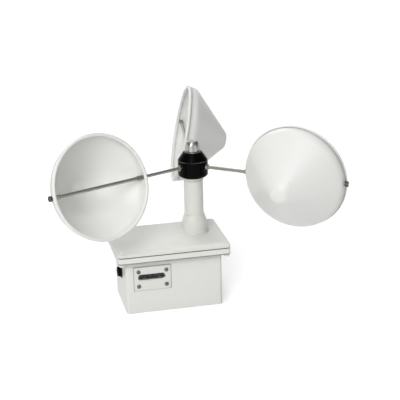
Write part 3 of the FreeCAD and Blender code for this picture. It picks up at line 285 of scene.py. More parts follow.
def rounded(corners, steps=5, closed=True):
    """Corner list (a, b, fillet radius) to points, with an arc at each filleted corner."""
    most_of_edge = 0.48
    nearly_straight = math.pi / 2 - 0.02
    out = []
    last = len(corners) - 1
    for i, (a, b, r) in enumerate(corners):
        p = Vector((a, b))
        if r <= 0 or (not closed and i in (0, last)):
            out.append((a, b))
            continue
        q0 = Vector(corners[i - 1][:2])
        q1 = Vector(corners[(i + 1) % len(corners)][:2])
        d0 = (q0 - p).normalized()
        d1 = (q1 - p).normalized()
        half = math.acos(max(-1.0, min(1.0, d0.dot(d1)))) / 2
        if half > nearly_straight:
            out.append((a, b))
            continue
        cut = min(r / math.tan(half), (q0 - p).length * most_of_edge, (q1 - p).length * most_of_edge)
        centre = p + (d0 + d1).normalized() * (cut * math.tan(half) / math.sin(half))
        v0 = p + d0 * cut - centre
        v1 = p + d1 * cut - centre
        turn = v0.angle_signed(v1)
        for k in range(steps + 1):
            w = v0.copy()
            w.rotate(Matrix.Rotation(-turn * k / steps, 2))
            out.append(tuple(centre + w))
    return out


def bridge(bm, low, high):
    """Faces between two rings, where a ring of one point is a tip.

    Each face comes with its step round the ring and its corners as (ring, step ahead).
    """
    if len(low) == 1 and len(high) == 1:
        return []
    if len(low) == 1:
        corners = ((0, 0), (1, 1), (1, 0))
    elif len(high) == 1:
        corners = ((0, 0), (0, 1), (1, 0))
    else:
        corners = ((0, 0), (0, 1), (1, 1), (1, 0))
    rings = (low, high)
    made = []
    for s in range(max(len(low), len(high))):
        face = bm.faces.new([rings[k][(s + ahead) % len(rings[k])] for k, ahead in corners])
        made.append((s, face, corners))
    return made


def lathe(name, corners, segments=96, matrix=HOME, steps=5, sharp=SHARP_DEG, closed=True,
          wave=None, crease_shade=None):
    """A body turned about Z from an outline of (radius, height, fillet).

    wave(angle, radius) moves points outward, and the last argument gives the amount of painted shade at some
    outline points.
    """
    points = rounded(corners, steps, closed)
    crease_shade = crease_shade or {}
    bm = bmesh.new()
    shade_layer = bm.verts.layers.float.new("crease_shade")
    uv = bm.loops.layers.uv.new("turned")
    lengths = [0.0]
    for p, q in zip(points, points[1:]):
        lengths.append(lengths[-1] + (Vector(q) - Vector(p)).length)
    rings = []
    for i, (r, z) in enumerate(points):
        if r < TIP:
            rings.append([bm.verts.new((0, 0, z))])
            continue
        ring = []
        for s in range(segments):
            a = 2 * math.pi * s / segments
            reach = r + wave(a, r) if wave else r
            v = bm.verts.new((reach * math.cos(a), reach * math.sin(a), z))
            v[shade_layer] = crease_shade.get(i, 0.0)
            ring.append(v)
        rings.append(ring)
    for i in range(len(rings) if closed else len(rings) - 1):
        after = (i + 1) % len(rings)
        heights = (lengths[i] * MM, (lengths[after] if after else lengths[i] + 1.0) * MM)
        for s, face, places in bridge(bm, rings[i], rings[after]):
            for loop, (k, ahead) in zip(face.loops, places):
                loop[uv].uv = ((s + ahead) / segments, heights[k])
    return finish_mesh(name, bm, matrix, sharp)


def hexed(name, flats, outline, places, side=10):
    """Solids turned from an outline of (radius, height, fillet), with their sides kept inside a hexagon."""
    points = rounded(outline, 4)
    count = 6 * side
    ring_height = 0.0005
    bm = bmesh.new()
    uv = bm.loops.layers.uv.new("turned")
    for place in places:
        rings = []
        for limit, z in points:
            if limit < TIP:
                rings.append([bm.verts.new(place @ Vector((0, 0, z)))])
                continue
            ring = []
            for s in range(count):
                a = 2 * math.pi * s / count
                from_flat = a % (math.pi / 3) - math.pi / 6
                r = min(flats / 2 / math.cos(math.pi / 6 - abs(from_flat)), limit)
                ring.append(bm.verts.new(place @ Vector((r * math.cos(a), r * math.sin(a), z))))
            rings.append(ring)
        for i, ring in enumerate(rings):
            for s, face, _ in bridge(bm, ring, rings[(i + 1) % len(rings)]):
                for loop in face.loops:
                    loop[uv].uv = (s / count, i * ring_height)
    return finish_mesh(name, bm, HOME, NUT_SHARP_DEG)


def loft(name, rings, matrix=HOME, looped=False):
    """A skin over rings of points; its ends are closed by a face each, or joined to one another."""
    bm = bmesh.new()
    rings = [[bm.verts.new(p) for p in ring] for ring in rings]
    for low, high in zip(rings, rings[1:]):
        bridge(bm, low, high)
    if looped:
        bridge(bm, rings[-1], rings[0])
    else:
        bm.faces.new(rings[0][::-1])
        bm.faces.new(rings[-1])
    return finish_mesh(name, bm, matrix)


def between(table, x):
    """Straight-line reading of a table of (x, y)."""
    if x <= table[0][0]:
        return table[0][1]
    for (x0, y0), (x1, y1) in zip(table, table[1:]):
        if x <= x1:
            return y0 + (y1 - y0) * (x - x0) / (x1 - x0)
    return table[-1][1]


def rectangle(low, high, inset, r, z, steps=8):
    """Points round a rectangle with round corners, in from two opposite corners by an inset."""
    x0, x1 = low.x + inset + r, high.x - inset - r
    y0, y1 = low.y + inset + r, high.y - inset - r
    points = []
    for cx, cy, start in ((x1, y1, 0), (x0, y1, 90), (x0, y0, 180), (x1, y0, 270)):
        for k in range(steps + 1):
            a = math.radians(start + 90.0 * k / steps)
            points.append((cx + r * math.cos(a), cy + r * math.sin(a), z))
    return points


def rectangles(low, high, corner, section):
    """A rounded rectangle for each (inset, height), with its corner radius from a table of insets."""
    return [rectangle(low, high, inset, between(corner, inset), z) for inset, z in section]


def shell(name, low, high, corner, profile):
    """A rounded rectangle carried round a profile of (inset, height, fillet); both ends are closed."""
    return loft(name, rectangles(low, high, corner, rounded(profile, closed=False)))


# ---- cutters ---------------------------------------------
def rod(r, z0, z1, matrix, segments=48):
    return lathe("cutter", [(0, z0, 0), (r, z0, 0), (r, z1, 0), (0, z1, 0)], segments, matrix, closed=False)


def block(length, width, z0, z1, corner, place):
    """A rectangle with round corners, from one height to another."""
    low = Vector((-length / 2, -width / 2, 0))
    return placed(shell("cutter", low, -low, [(0, corner), (1, corner)], [(0, z0, 0), (0, z1, 0)]), place)


def obround(length, height, profile, matrix, steps=4):
    """An obround carried up a profile of (inset, height, fillet)."""
    half = (length - height) / 2
    rings = []
    for inset, z in rounded(profile, steps, closed=False):
        r = height / 2 - inset
        rings.append([(x, y, z) for x, y, _ in
                      arc((half, 0), r, -math.pi / 2, math.pi / 2, 12)
                      + arc((-half, 0), r, math.pi / 2, 1.5 * math.pi, 12)])
    return loft("cutter", rings, matrix)


def knurl(depth, count, beyond, power=1):
    """Grooves down a turned body, where its radius is beyond a given one."""
    def wave(angle, radius):
        return -depth * (0.5 + 0.5 * math.cos(count * angle)) ** power if radius > beyond else 0.0
    return wave


# ---- places ----------------------------------------------
def at(x, y, z=0.0):
    return Matrix.Translation((x, y, z))


def frame_matrix(x_to, y_to, z_to, origin):
    m = Matrix((x_to, y_to, z_to)).transposed().to_4x4()
    m.translation = origin
    return m


def out_of_front(x, z, y=BOX_Y0):
    """Local X to the right, local Y up, local Z out of the front wall."""
    return frame_matrix(Vector((1, 0, 0)), Vector((0, 0, 1)), Vector((0, -1, 0)), Vector((x, y, z)))


def out_of_left(y, z):
    """Local Y up, local Z out of the left wall."""
    return frame_matrix(Vector((0, -1, 0)), Vector((0, 0, 1)), Vector((-1, 0, 0)), Vector((BOX_X0, y, z)))


def arm_directions(k):
    """Outward along an arm, the way its cup points, and up."""
    a = math.radians(FIRST_ARM_DEG - 120.0 * k)
    out = Vector((math.cos(a), math.sin(a), 0))
    return out, Vector((math.sin(a), -math.cos(a), 0)), Vector((0, 0, 1))


def on_arm(k, radius, turn_deg=0.0):
    """Local Z outward along an arm, at a distance from the axis."""
    out, side, up = arm_directions(k)
    t = math.radians(turn_deg)
    x_to = up * math.cos(t) + side * math.sin(t)
    return frame_matrix(x_to, out.cross(x_to), out, out * radius + Vector((0, 0, ARM_Z)))


def lid_screw_points():
    i = OVERHANG / 2
    return [(x, y) for x in (LID_LOW.x + i, LID_HIGH.x - i) for y in (LID_LOW.y + i, LID_HIGH.y - i)]


def plate_screw_points():
    """Places from the middle of the window plate."""
    px, pz = SCREW_PITCH
    return [(sx * px / 2, sz * pz / 2) for sx in (-1, 1) for sz in (-1, 1)]


# ---- node helpers ----------------------------------------
class Nodes:
    """Short forms for building a node tree."""

    def __init__(self, tree):
        self.tree = tree

    def node(self, kind, **settings):
        n = self.tree.nodes.new(kind)
        for key, value in settings.items():
            setattr(n, key, value)
        return n

    def link(self, a, b):
        self.tree.links.new(a, b)

    def ramp(self, value, lo_in, hi_in, lo_out, hi_out):
        r = self.node("ShaderNodeMapRange", clamp=True)
        for key, v in zip(("From Min", "From Max", "To Min", "To Max"), (lo_in, hi_in, lo_out, hi_out)):
            r.inputs[key].default_value = v
        self.link(value, r.inputs["Value"])
        return r.outputs["Result"]

    def math(self, op, a, b=0.0):
        n = self.node("ShaderNodeMath", operation=op)
        for i, v in enumerate((a, b)):
            if isinstance(v, (int, float)):
                n.inputs[i].default_value = v
            else:
                self.link(v, n.inputs[i])
        return n.outputs["Value"]

    def rays(self):
        """Two values: one for camera rays, and one for mirror and glass rays."""
        path = self.node("ShaderNodeLightPath").outputs
        return path["Is Camera Ray"], self.math("MAXIMUM", path["Is Glossy Ray"], path["Is Transmission Ray"])


class Mat(Nodes):
    """A procedural material built around one Principled shader."""

    def __init__(self, name, **fixed):
        self.material = bpy.data.materials.new(name)
        self.material.use_nodes = True
        super().__init__(self.material.node_tree)
        self.bsdf = self.tree.nodes["Principled BSDF"]
        for key, value in fixed.items():
            self.bsdf.inputs[key.replace("_", " ")].default_value = value
        self.coord = self.node("ShaderNodeTexCoord")
        self.normal = None

    def mapped(self, scale, source="Object"):
        mp = self.node("ShaderNodeMapping")
        mp.inputs["Scale"].default_value = scale
        self.link(self.coord.outputs[source], mp.inputs["Vector"])
        return mp.outputs["Vector"]

    def noise(self, scale, detail=3.0, rough=0.5, vector=None, distort=0.0):
        n = self.node("ShaderNodeTexNoise")
        n.inputs["Scale"].default_value = scale
        n.inputs["Detail"].default_value = detail
        n.inputs["Roughness"].default_value = rough
        n.inputs["Distortion"].default_value = distort
        self.link(vector or self.coord.outputs["Object"], n.inputs["Vector"])
        return n.outputs["Fac"]

    def blend(self, fac, a, b):
        n = self.node("ShaderNodeMix", data_type="RGBA")
        for socket, v in ((n.inputs[0], fac), (n.inputs[6], a), (n.inputs[7], b)):
            if isinstance(v, (int, float, tuple)):
                socket.default_value = v
            else:
                self.link(v, socket)
        return n.outputs[2]

    def colour(self, socket):
        self.link(socket, self.bsdf.inputs["Base Color"])

    def roughness(self, socket):
        self.link(socket, self.bsdf.inputs["Roughness"])

    def wander(self, pattern, rough):
        """Roughness that follows a pattern of 0 to 1 a little way to both sides."""
        return self.ramp(pattern, 0.0, 1.0, rough - 0.08, rough + 0.10)

    def bump(self, height, strength, distance):
        """Adds to the bumps that are there already."""
        n = self.node("ShaderNodeBump")
        n.inputs["Strength"].default_value = strength
        n.inputs["Distance"].default_value = distance
        self.link(height, n.inputs["Height"])
        if self.normal is not None:
            self.link(self.normal, n.inputs["Normal"])
        self.normal = n.outputs["Normal"]
        self.link(self.normal, self.bsdf.inputs["Normal"])

    def position(self):
        """The point on the object in millimetres: x, y and z."""
        parts = self.node("ShaderNodeSeparateXYZ")
        self.link(self.mapped((1000.0, 1000.0, 1000.0)), parts.inputs[0])
        return parts.outputs[0], parts.outputs[1], parts.outputs[2]

    def band(self, value, start, full, end, gone):
        """One between full and end, fading to nothing at start and gone."""
        rise = self.ramp(value, start, full, 0.0, 1.0)
        return self.math("MINIMUM", rise, self.ramp(value, end, gone, 1.0, 0.0))

    def outside(self, x, z, cx, cz, width, height):
        """How far a point lies outside a rectangle, less than zero inside it."""
        dx = self.math("SUBTRACT", self.math("ABSOLUTE", self.math("SUBTRACT", x, cx)), width / 2)
        dz = self.math("SUBTRACT", self.math("ABSOLUTE", self.math("SUBTRACT", z, cz)), height / 2)
        return self.math("MAXIMUM", dx, dz)

    def broken(self, amount, scale, least):
        """An amount of painted shade, broken up into patches that keep at least this share of it."""
        patch = self.ramp(self.noise(scale, 3.0, 0.6), 0.25, 0.6, least, 1.0)
        return self.math("MULTIPLY", amount, patch)


# ---- materials -------------------------------------------
# Grey of the painted shade in creases, under lips and round the window plate.
PAINTED_SHADE = (0.16, 0.16, 0.15, 1.0)
# Grey of the painted highlight along the hub's shoulder.
HIGHLIGHT_GREY = (0.085, 0.085, 0.08, 1.0)
WARM = (1.0, 0.992, 0.975)


def rgb(r, g, b):
    """An sRGB colour of 0 to 255 as a linear one."""
    def lin(c):
        c /= 255.0
        return c / 12.92 if c <= 0.04045 else ((c + 0.055) / 1.055) ** 2.4
    return (lin(r), lin(g), lin(b), 1.0)


def shade(tint, share):
    """The tint with its channels multiplied by one share, or by one share each."""
    shares = share if isinstance(share, tuple) else (share, share, share)
    return tuple(c * s for c, s in zip(tint, shares)) + (1.0,)


def paler(tint, share, more):
    return tuple(min(1.0, c * share + more) for c in tint[:3]) + (1.0,)


def box_lines(m):
    """Painted shade along the flange's lower lip, and a painted shadow line round the window plate."""
    x, y, z = m.position()
    lip = m.band(z, FLANGE_UNDER - 0.6, FLANGE_UNDER, FLANGE_UNDER + 1.5, FLANGE_UNDER + 1.9)
    away = m.outside(x, z, PLATE_X, PLATE_Z, PLATE_W, PLATE_H)
    on_wall = m.ramp(y, BOX_Y0 + 0.3, BOX_Y0 + 0.6, 0.55, 0.0)
    ring = m.math("MULTIPLY", m.band(away, -0.8, -0.3, 0.6, 1.1), on_wall)
    return m.math("MAXIMUM", m.math("MULTIPLY", lip, 0.85), ring)


def plate_lines(m):
    """Painted shade on the plate's edge and inside its slot, left off the lower chamfer where the light
    falls.
    """
    x, y, z = m.position()
    deep = m.ramp(y, PLATE_LOW.y + 0.2, PLATE_LOW.y + 0.5, 0.0, 0.7)
    near = m.ramp(m.outside(x, z, SLOT_X, SLOT_Z, SLOT_L, SLOT_H), 2.0, 2.5, 1.0, 0.0)
    low = m.math("MULTIPLY", near, m.ramp(z, SLOT_Z - 3.2, SLOT_Z - 2.2, 1.0, 0.0))
    return m.math("MULTIPLY", deep, m.math("SUBTRACT", 1.0, low))


def column_lines(m):
    """Painted shade round the column, just under the collar's lip."""
    joint = m.band(m.position()[2], TUBE_TOP - 1.3, TUBE_TOP - 0.7, TUBE_TOP + 0.2, TUBE_TOP + 0.5)
    return m.math("MULTIPLY", joint, 0.45)


def clouded(m, tint, slow, fine, patches):
    """The tint with slow warm clouds and finer dull patches."""
    clouds = m.ramp(m.noise(slow, 4.0, 0.55), 0.2, 0.8, 0.0, 0.8)
    dull = m.ramp(m.noise(fine, 3.0, 0.6), 0.2, 0.8, 0.0, patches)
    return m.blend(dull, m.blend(clouds, tint, shade(tint, WARM)), shade(tint, 0.95))


def enamel(name, tint, rough=0.34, casting=True, lines=None):
    """Baked off-white enamel: slow unevenness, orange peel, faint mottling."""
    m = Mat(name, IOR=1.5, Specular_IOR_Level=0.4)
    base = clouded(m, tint, 22.0, 230.0, 0.45)
    specks = m.ramp(m.noise(1300.0, 2.0, 0.5), 0.66, 0.76, 0.0, 0.10)
    base = m.blend(specks, base, shade(tint, 0.6))
    if lines is not None:
        # The line mask paints shade over the enamel, broken into patches.
        base = m.blend(m.broken(lines(m), 300.0, 0.75), base, PAINTED_SHADE)
    m.colour(base)
    m.roughness(m.wander(m.noise(70.0, 4.0, 0.6), rough))
    if casting:
        m.bump(m.noise(45.0, 1.0, 0.4), 0.03, 0.0010)
    m.bump(m.noise(520.0, 2.0, 0.5), 0.10, 0.00020)
    m.bump(m.noise(1700.0, 2.0, 0.5), 0.06, 0.00006)
    return m.material


def spun_enamel(name, tint, rough=0.30):
    """The same enamel over a spun cup, with faint turning rings and painted shade in the creases beside the
    bead.
    """
    m = Mat(name, IOR=1.5, Specular_IOR_Level=0.4)
    rings = m.noise(1.0, 2.0, 0.6, m.mapped((0.6, 900.0, 1.0), "UV"))
    base = clouded(m, tint, 18.0, 260.0, 0.4)
    base = m.blend(m.ramp(rings, 0.2, 0.8, 0.0, 0.2), base, shade(tint, 0.95))
    # This attribute carries the painted shade beside the bead.
    crease = m.node("ShaderNodeAttribute", attribute_name="crease_shade").outputs["Fac"]
    m.colour(m.blend(m.broken(crease, 450.0, 0.65), base, PAINTED_SHADE))
    m.roughness(m.wander(m.noise(60.0, 4.0, 0.6), rough))
    m.bump(rings, 0.06, 0.0002)
    m.bump(m.noise(620.0, 2.0, 0.5), 0.08, 0.00018)
    return m.material


def metal(name, tint, rough, brushed=None, spread=0.08, scratch=0.5, dull=0.72, streaks=(0.5, 0.8)):
    """Bare or plated metal with drawn or turned lines, stains and small scratches."""
    m = Mat(name, Metallic=1.0)
    stain = m.noise(90.0, 4.0, 0.6)
    along = m.mapped(brushed, "UV") if brushed else m.mapped((400.0, 400.0, 400.0))
    lines = m.noise(1.0, 3.0, 0.6, along)
    base = m.blend(m.ramp(stain, 0.4, 0.75, 0.0, 0.7), tint, shade(tint, dull))
    m.colour(m.blend(m.ramp(lines, *streaks, 0.0, scratch), base, shade(tint, dull)))
    m.roughness(m.math("ADD", m.ramp(lines, 0.3, 0.7, -spread, spread), m.wander(stain, rough)))
    m.bump(lines, 0.15, 0.00006)
    m.bump(m.noise(800.0, 2.0, 0.6), 0.08, 0.00005)
    return m.material


def gloss_black(name, tint, rough, edge_z=None):
    """Moulded black: fine grain, soft unevenness, a few pale scuffs, and a painted highlight line at an edge.
    """
    m = Mat(name, IOR=1.45, Specular_IOR_Level=0.05)
    grain = m.noise(900.0, 3.0, 0.6)
    scuff = m.noise(140.0, 6.0, 0.75, distort=0.6)
    pale = paler(tint, 3.0, 0.012)
    base = m.blend(m.ramp(grain, 0.55, 0.8, 0.0, 0.3), tint, pale)
    base = m.blend(m.ramp(scuff, 0.66, 0.8, 0.0, 0.4), base, pale)
    # A pale band at this height is a painted highlight, broken into dashes.
    if edge_z is not None:
        highlight_band = m.band(m.position()[2], edge_z - 0.8, edge_z - 0.3, edge_z + 0.1, edge_z + 0.7)
        patch = m.ramp(m.noise(110.0, 3.0, 0.6), 0.40, 0.62, 0.0, 1.0)
        base = m.blend(m.math("MULTIPLY", highlight_band, patch), base, HIGHLIGHT_GREY)
    m.colour(base)
    m.roughness(m.ramp(scuff, 0.35, 0.75, rough - 0.04, rough + 0.12))
    m.bump(m.noise(60.0, 2.0, 0.5), 0.12, 0.0006)
    m.bump(grain, 0.10, 0.00008)
    return m.material


def rubber(name, tint, rough=0.62):
    """Dull rubber, plastic or paint: fine grain and a little dust."""
    m = Mat(name, IOR=1.45)
    grain = m.noise(1400.0, 3.0, 0.65)
    dust = m.noise(160.0, 5.0, 0.7)
    pale = paler(tint, 2.2, 0.02)
    base = m.blend(m.ramp(grain, 0.4, 0.8, 0.0, 0.3), tint, pale)
    m.colour(m.blend(m.ramp(dust, 0.5, 0.8, 0.0, 0.5), base, pale))
    m.roughness(m.ramp(dust, 0.3, 0.7, rough - 0.08, rough + 0.12))
    m.bump(grain, 0.25, 0.0001)
    return m.material


def pane(name):
    """Window glass with a trace of dust; its grey tint is painted shade that darkens the slot."""
    m = Mat(name, Transmission_Weight=1.0, IOR=1.3)
    dust = m.noise(200.0, 5.0, 0.7)
    m.colour(m.blend(m.ramp(dust, 0.45, 0.8, 0.0, 0.4), (0.74, 0.77, 0.75, 1.0), (0.50, 0.52, 0.50, 1.0)))
    m.roughness(m.ramp(dust, 0.4, 0.75, 0.02, 0.10))
    m.bump(m.noise(30.0, 2.0, 0.5), 0.05, 0.0003)
    return m.material


# The box, column and plate enamels take painted shade from their line masks.
ENAMEL = enamel("box enamel", rgb(224, 225, 221), lines=box_lines)
LID_ENAMEL = enamel("lid enamel", rgb(219, 220, 215), rough=0.30)
COLUMN_ENAMEL = enamel("column enamel", rgb(214, 215, 209), rough=0.32, casting=False, lines=column_lines)
PLATE_ENAMEL = enamel("plate enamel", rgb(221, 222, 217), rough=0.3, casting=False, lines=plate_lines)
CUP_ENAMEL = spun_enamel("cup enamel", rgb(225, 226, 223))
HUB_BLACK = gloss_black("hub black", rgb(4, 4, 4), 0.16, HUB_SHOULDER)
GLAND_BLACK = gloss_black("gland black", rgb(17, 17, 17), 0.34)
# The nickel's turned lines swing between its full tint and a dark one: painted reflection streaks on the
# nut's faces, on top of real turning marks.
CHROME = metal("bright nickel", rgb(196, 196, 191), 0.30, (11.0, 12.0, 1.0),
               scratch=1.0, dull=0.38, streaks=(0.4, 0.6))
WASHER_STEEL = metal("washer steel", rgb(140, 140, 135), 0.30, (60.0, 3000.0, 1.0))
ARM_STEEL = metal("drawn steel", rgb(158, 157, 151), 0.34, (90.0, 22.0, 1.0), spread=0.06, scratch=0.6)
NUT_STEEL = metal("nut steel", rgb(156, 154, 146), 0.30)
SCREW_STEEL = metal("dull screw steel", rgb(118, 118, 110), 0.38)
DARK_STEEL = metal("blackened steel", rgb(92, 90, 84), 0.38)
SLEEVE_STEEL = metal("sleeve steel", rgb(150, 148, 140), 0.36)
BEARING = metal("bearing steel", rgb(176, 176, 174), 0.16)
BRASS = metal("brass", rgb(186, 152, 92), 0.28)
RUBBER = rubber("seal rubber", rgb(30, 30, 29))
GASKET = rubber("gasket rubber", rgb(78, 78, 72))
DRUM_BLACK = rubber("drum black", rgb(34, 34, 32), 0.5)
PINION_PLASTIC = rubber("pinion plastic", rgb(196, 190, 172), 0.45)
# The figures are dimmed to a dark grey as painted shade inside the window slot.
FIGURE_PAINT = rubber("figure paint", rgb(84, 82, 76), 0.6)
GLASS = pane("window pane")

BY_SLOT = {
    "enamel": ENAMEL, "cup_enamel": CUP_ENAMEL, "hub_black": HUB_BLACK, "chrome": CHROME,
    "plated_steel": NUT_STEEL, "dark_steel": DARK_STEEL, "bearing_steel": BEARING,
    "seal_rubber": RUBBER, "gasket_rubber": GASKET, "black_plastic": GLAND_BLACK,
    "glass": GLASS, "brass": BRASS, "drum_plastic": DRUM_BLACK, "pinion_plastic": PINION_PLASTIC,
    "plate_enamel": PLATE_ENAMEL,
}
SLOT_OF = {s["node"]: s["material_slot"] for s in frame["record"]["subparts"]}
SPECIAL = {"window_screws": SCREW_STEEL, "lid_screws": ENAMEL}


def paint(obj, material):
    obj.data.materials.clear()
    obj.data.materials.append(material)


def stands_for(obj, node, material):
    """The piece takes the given material and rides with the node it replaces, which is hidden."""
    paint(obj, material)
    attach(obj, BODY[node])
    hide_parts(node)


for name, obj in NODES.items():
    paint(obj, SPECIAL.get(name, BY_SLOT[SLOT_OF[name]]))


# ---- box and lid -----------------------------------------
def box_casting():
    """One casting: floor, walls, flange and a small fillet at every edge."""
    corner = [(0, 4.0), (1.0, 3.0), (8.0, 5.2), (OVERHANG, 4.0), (10.4, 2.9), (IN_WALL, 2.5), (CORE, 1.0)]
    body = shell("box_casting", BOX_LOW, BOX_HIGH, corner, [
        (11.5, 0.0, 0),
        (OVERHANG, 0.0, 0.9),
        (OVERHANG, FLANGE_UNDER, 1.2),
        (0.0, FLANGE_UNDER, 0.8),
        (0.0, SEAM_Z, 0.45),
        (IN_WALL, SEAM_Z, 0.3),
        (IN_WALL, FLOOR, 1.5),
        (CORE, FLOOR, 0),
    ])
    countersunk = [
        (0, -1, 0),
        (FIX_HOLE_R + 1.0, -1, 0),
        (FIX_HOLE_R, 0.5, 0),
        (FIX_HOLE_R, FLOOR + 1, 0),
        (0, FLOOR + 1, 0),
    ]
    cutters = []
    for dx in FIX_HOLES_X:
        for dy in FIX_HOLES_Y:
            place = at(BOX_HIGH.x - OVERHANG - dx, BOX_HIGH.y - OVERHANG - dy)
            cutters.append(lathe("cutter", countersunk, 48, place, closed=False))
    for x, y in lid_screw_points():
        cutters.append(rod(LID_SCREW_R, FLANGE_UNDER - 1, SEAM_Z + 1, at(x, y), 32))
    slot = out_of_front(SLOT_X, SLOT_Z)
    cutters.append(obround(SLOT_L, SLOT_H, [(0, -6.0, 0), (0, -1.0, 0)], slot))
    cutters.append(obround(SLOT_L + POCKET, SLOT_H + POCKET, [(0, -2.0, 0), (0, 1.0, 0)], slot))
    plate = out_of_front(PLATE_X, PLATE_Z)
    cutters += [rod(SCREW_STEM_R, -2.8, 1.0, plate @ at(x, z), 24) for x, z in plate_screw_points()]
    cutters.append(rod(GLAND_R, -WALL - 1, 1.0, out_of_left(GLAND_Y, GLAND_Z), 64))
    stands_for(level(carve(body, cutters)), "box_body", ENAMEL)


def lid_cover():
    corner = [(0, 4.0), (0.9, 3.1), (BEVEL, 4.0), (IN_WALL, 2.5), (CORE, 1.0)]
    cover = shell("lid_cover", LID_LOW, LID_HIGH, corner, [
        (CORE, LID_UNDER, 0),
        (IN_WALL, LID_UNDER, 0.6),
        (IN_WALL, LID_LOW.z, 0.3),
        (0.0, LID_LOW.z, 0.4),
        (0.0, EDGE_Z, 1.0),
        (BEVEL, LID_HIGH.z, 3.0),
        (11.0, LID_HIGH.z, 0),
    ])
    cutters = [rod(TUBE_R, LID_LOW.z, LID_HIGH.z + 1, HOME, 96)]
    for x, y in lid_screw_points():
        cutters.append(rod(LID_SCREW_R, LID_LOW.z - 1, LID_LOW.z + LID_SCREW_DEPTH, at(x, y), 32))
    stands_for(level(carve(cover, cutters)), "lid", LID_ENAMEL)


def seam_seal():
    """The gasket bulges a little between flange and lid."""
    low = lo("lid_gasket")
    high = hi("lid_gasket")
    wide = IN_WALL - (low.x - LID_LOW.x)
    hollow = 0.35
    section = rounded([
        (hollow, low.z, 0),
        (0.0, (low.z + high.z) / 2, 1.5),
        (hollow, high.z, 0),
        (wide, high.z, 0),
        (wide, low.z, 0),
    ], 6)
    rings = rectangles(low, high, [(0, 3.1), (wide, 2.5)], section)
    stands_for(loft("seam_seal", rings, looped=True), "lid_gasket", GASKET)


# ---- column ----------------------------------------------
def pedestal_casting():
    z0 = LID_HIGH.z
    inner = TUBE_R + 0.02
    foot = lathe("pedestal_casting", [
        (inner, z0, 0),
        (PED_R, z0, 0),
        (PED_R, z0 + FOOT_RIM_T, 0.7),
        (PED_R - 1.0, z0 + FOOT_RIM_T, 0.6),
        (PED_R - 2.4, z0 + FOOT_CONE_H, 12.0),
        (TUBE_R + 0.75, z0 + FOOT_H, 0.5),
        (inner, z0 + FOOT_H, 0),
    ], 144, steps=7)
    to_back = at(0, 0, z0 + GRUB_Z) @ Matrix.Rotation(math.radians(-90), 4, "X")
    carve(foot, [rod(GRUB_R, TUBE_R - 1, PED_R + 1, to_back, 40)])
    stands_for(level(foot), "pedestal", COLUMN_ENAMEL)


def column():
    low = lo("column_tube").z
    tube = lathe("column_sleeve", [
        (RACE_R, low, 0.1),
        (TUBE_R, low, 0.4),
        (TUBE_R, TUBE_TOP, 0.5),
        (RACE_R, TUBE_TOP, 0),
        (RACE_R, TUBE_TOP - UPPER_RACE_H, 0),
        (COLUMN_BORE, TUBE_TOP - UPPER_RACE_H, 0),
        (COLUMN_BORE, low + LOWER_RACE_H, 0),
        (RACE_R, low + LOWER_RACE_H, 0),
    ], 144)
    stands_for(tube, "column_tube", COLUMN_ENAMEL)


def collar():
    low = lo("bearing_cap").z
    ring = lathe("column_collar", [
        (COLLAR_BORE, low, 0),
        (RACE_R, low, 0),
        (RACE_R, TUBE_TOP, 0),
        (TUBE_R - COLLAR_STEP, TUBE_TOP, 0),
        (TUBE_R - 0.2, TUBE_TOP + COLLAR_STEP, 0),
        (CAP_R, TUBE_TOP + COLLAR_STEP, 0.4),
        (CAP_R, CAP_TOP, 0.9),
        (COLLAR_BORE, CAP_TOP, 0.4),
    ], 144)
    stands_for(ring, "bearing_cap", COLUMN_ENAMEL)


# ---- rotor -----------------------------------------------
def hub_body():
    inside = HUB_R - HUB_RIM_T
    spider = lathe("hub_spider", [
        (SPINDLE_R, HUB_SEAT, 0.2),
        (HUB_BOSS_R, HUB_SEAT, 0.3),
        (HUB_BOSS_R, HUB_LOW + HUB_HOLLOW_H, 0.6),
        (inside, HUB_LOW + HUB_HOLLOW_H, 0.6),
        (inside, HUB_LOW, 0.3),
        (HUB_R - 2.0, HUB_LOW, 0.5),
        (HUB_R, HUB_LOW + 2.0, 1.4),
        (HUB_R, HUB_SHOULDER - 2.2, 0.15),
        (HUB_R - 0.25, HUB_SHOULDER - 1.9, 0.15),
        (HUB_R - 0.15, HUB_SHOULDER, 1.3),
        (HUB_TOP_R, HUB_HIGH, 0.8),
        (SPINDLE_R, HUB_HIGH, 0),
    ], 192, steps=6)
    cutters = []
    for k in range(3):
        cutters.append(block(HUB_FLAT_W, HUB_FLAT_W, 0.0, 4.0, 1.0, on_arm(k, HUB_FLAT_R)))
        cutters.append(rod(ARM_R, ARM_START_R, HUB_R + 2, on_arm(k, 0.0), 40))
    stands_for(level(carve(spider, cutters)), "hub", HUB_BLACK)


def nut_outline(flats, height, chamfer):
    """Face, chamfer, flank and bore of a hexagon nut on an arm, both faces alike."""
    rise = straight((flats / 2 * 0.97, 0), (flats / math.sqrt(3), chamfer), 6)
    fall = [(r, height - z, 0) for r, z, _ in reversed(rise)]
    bevel = 0.25
    start = [(ARM_R + bevel, 0, 0)]
    end = [(ARM_R + bevel, height, 0), (ARM_R, height - bevel, 0), (ARM_R, bevel, 0)]
    return start + rise + fall + end


def lock_nuts():
    places = [on_arm(k, HUB_FLAT_R, 12.0 * k) for k in range(3)]
    nuts = hexed("hub_nuts", LOCK_FLATS, nut_outline(LOCK_FLATS, LOCK_H, 0.7), places)
    stands_for(level(nuts), "hub_lock_nuts", NUT_STEEL)


def washer():
    r = hi("cap_washer").x
    ring = lathe("nut_washer", [
        (SPINDLE_R, HUB_HIGH, 0.1),
        (r, HUB_HIGH, 0.3),
        (r, NUT_LOW, 0.6),
        (SPINDLE_R, NUT_LOW, 0.1),
    ], 128)
    stands_for(ring, "cap_washer", WASHER_STEEL)


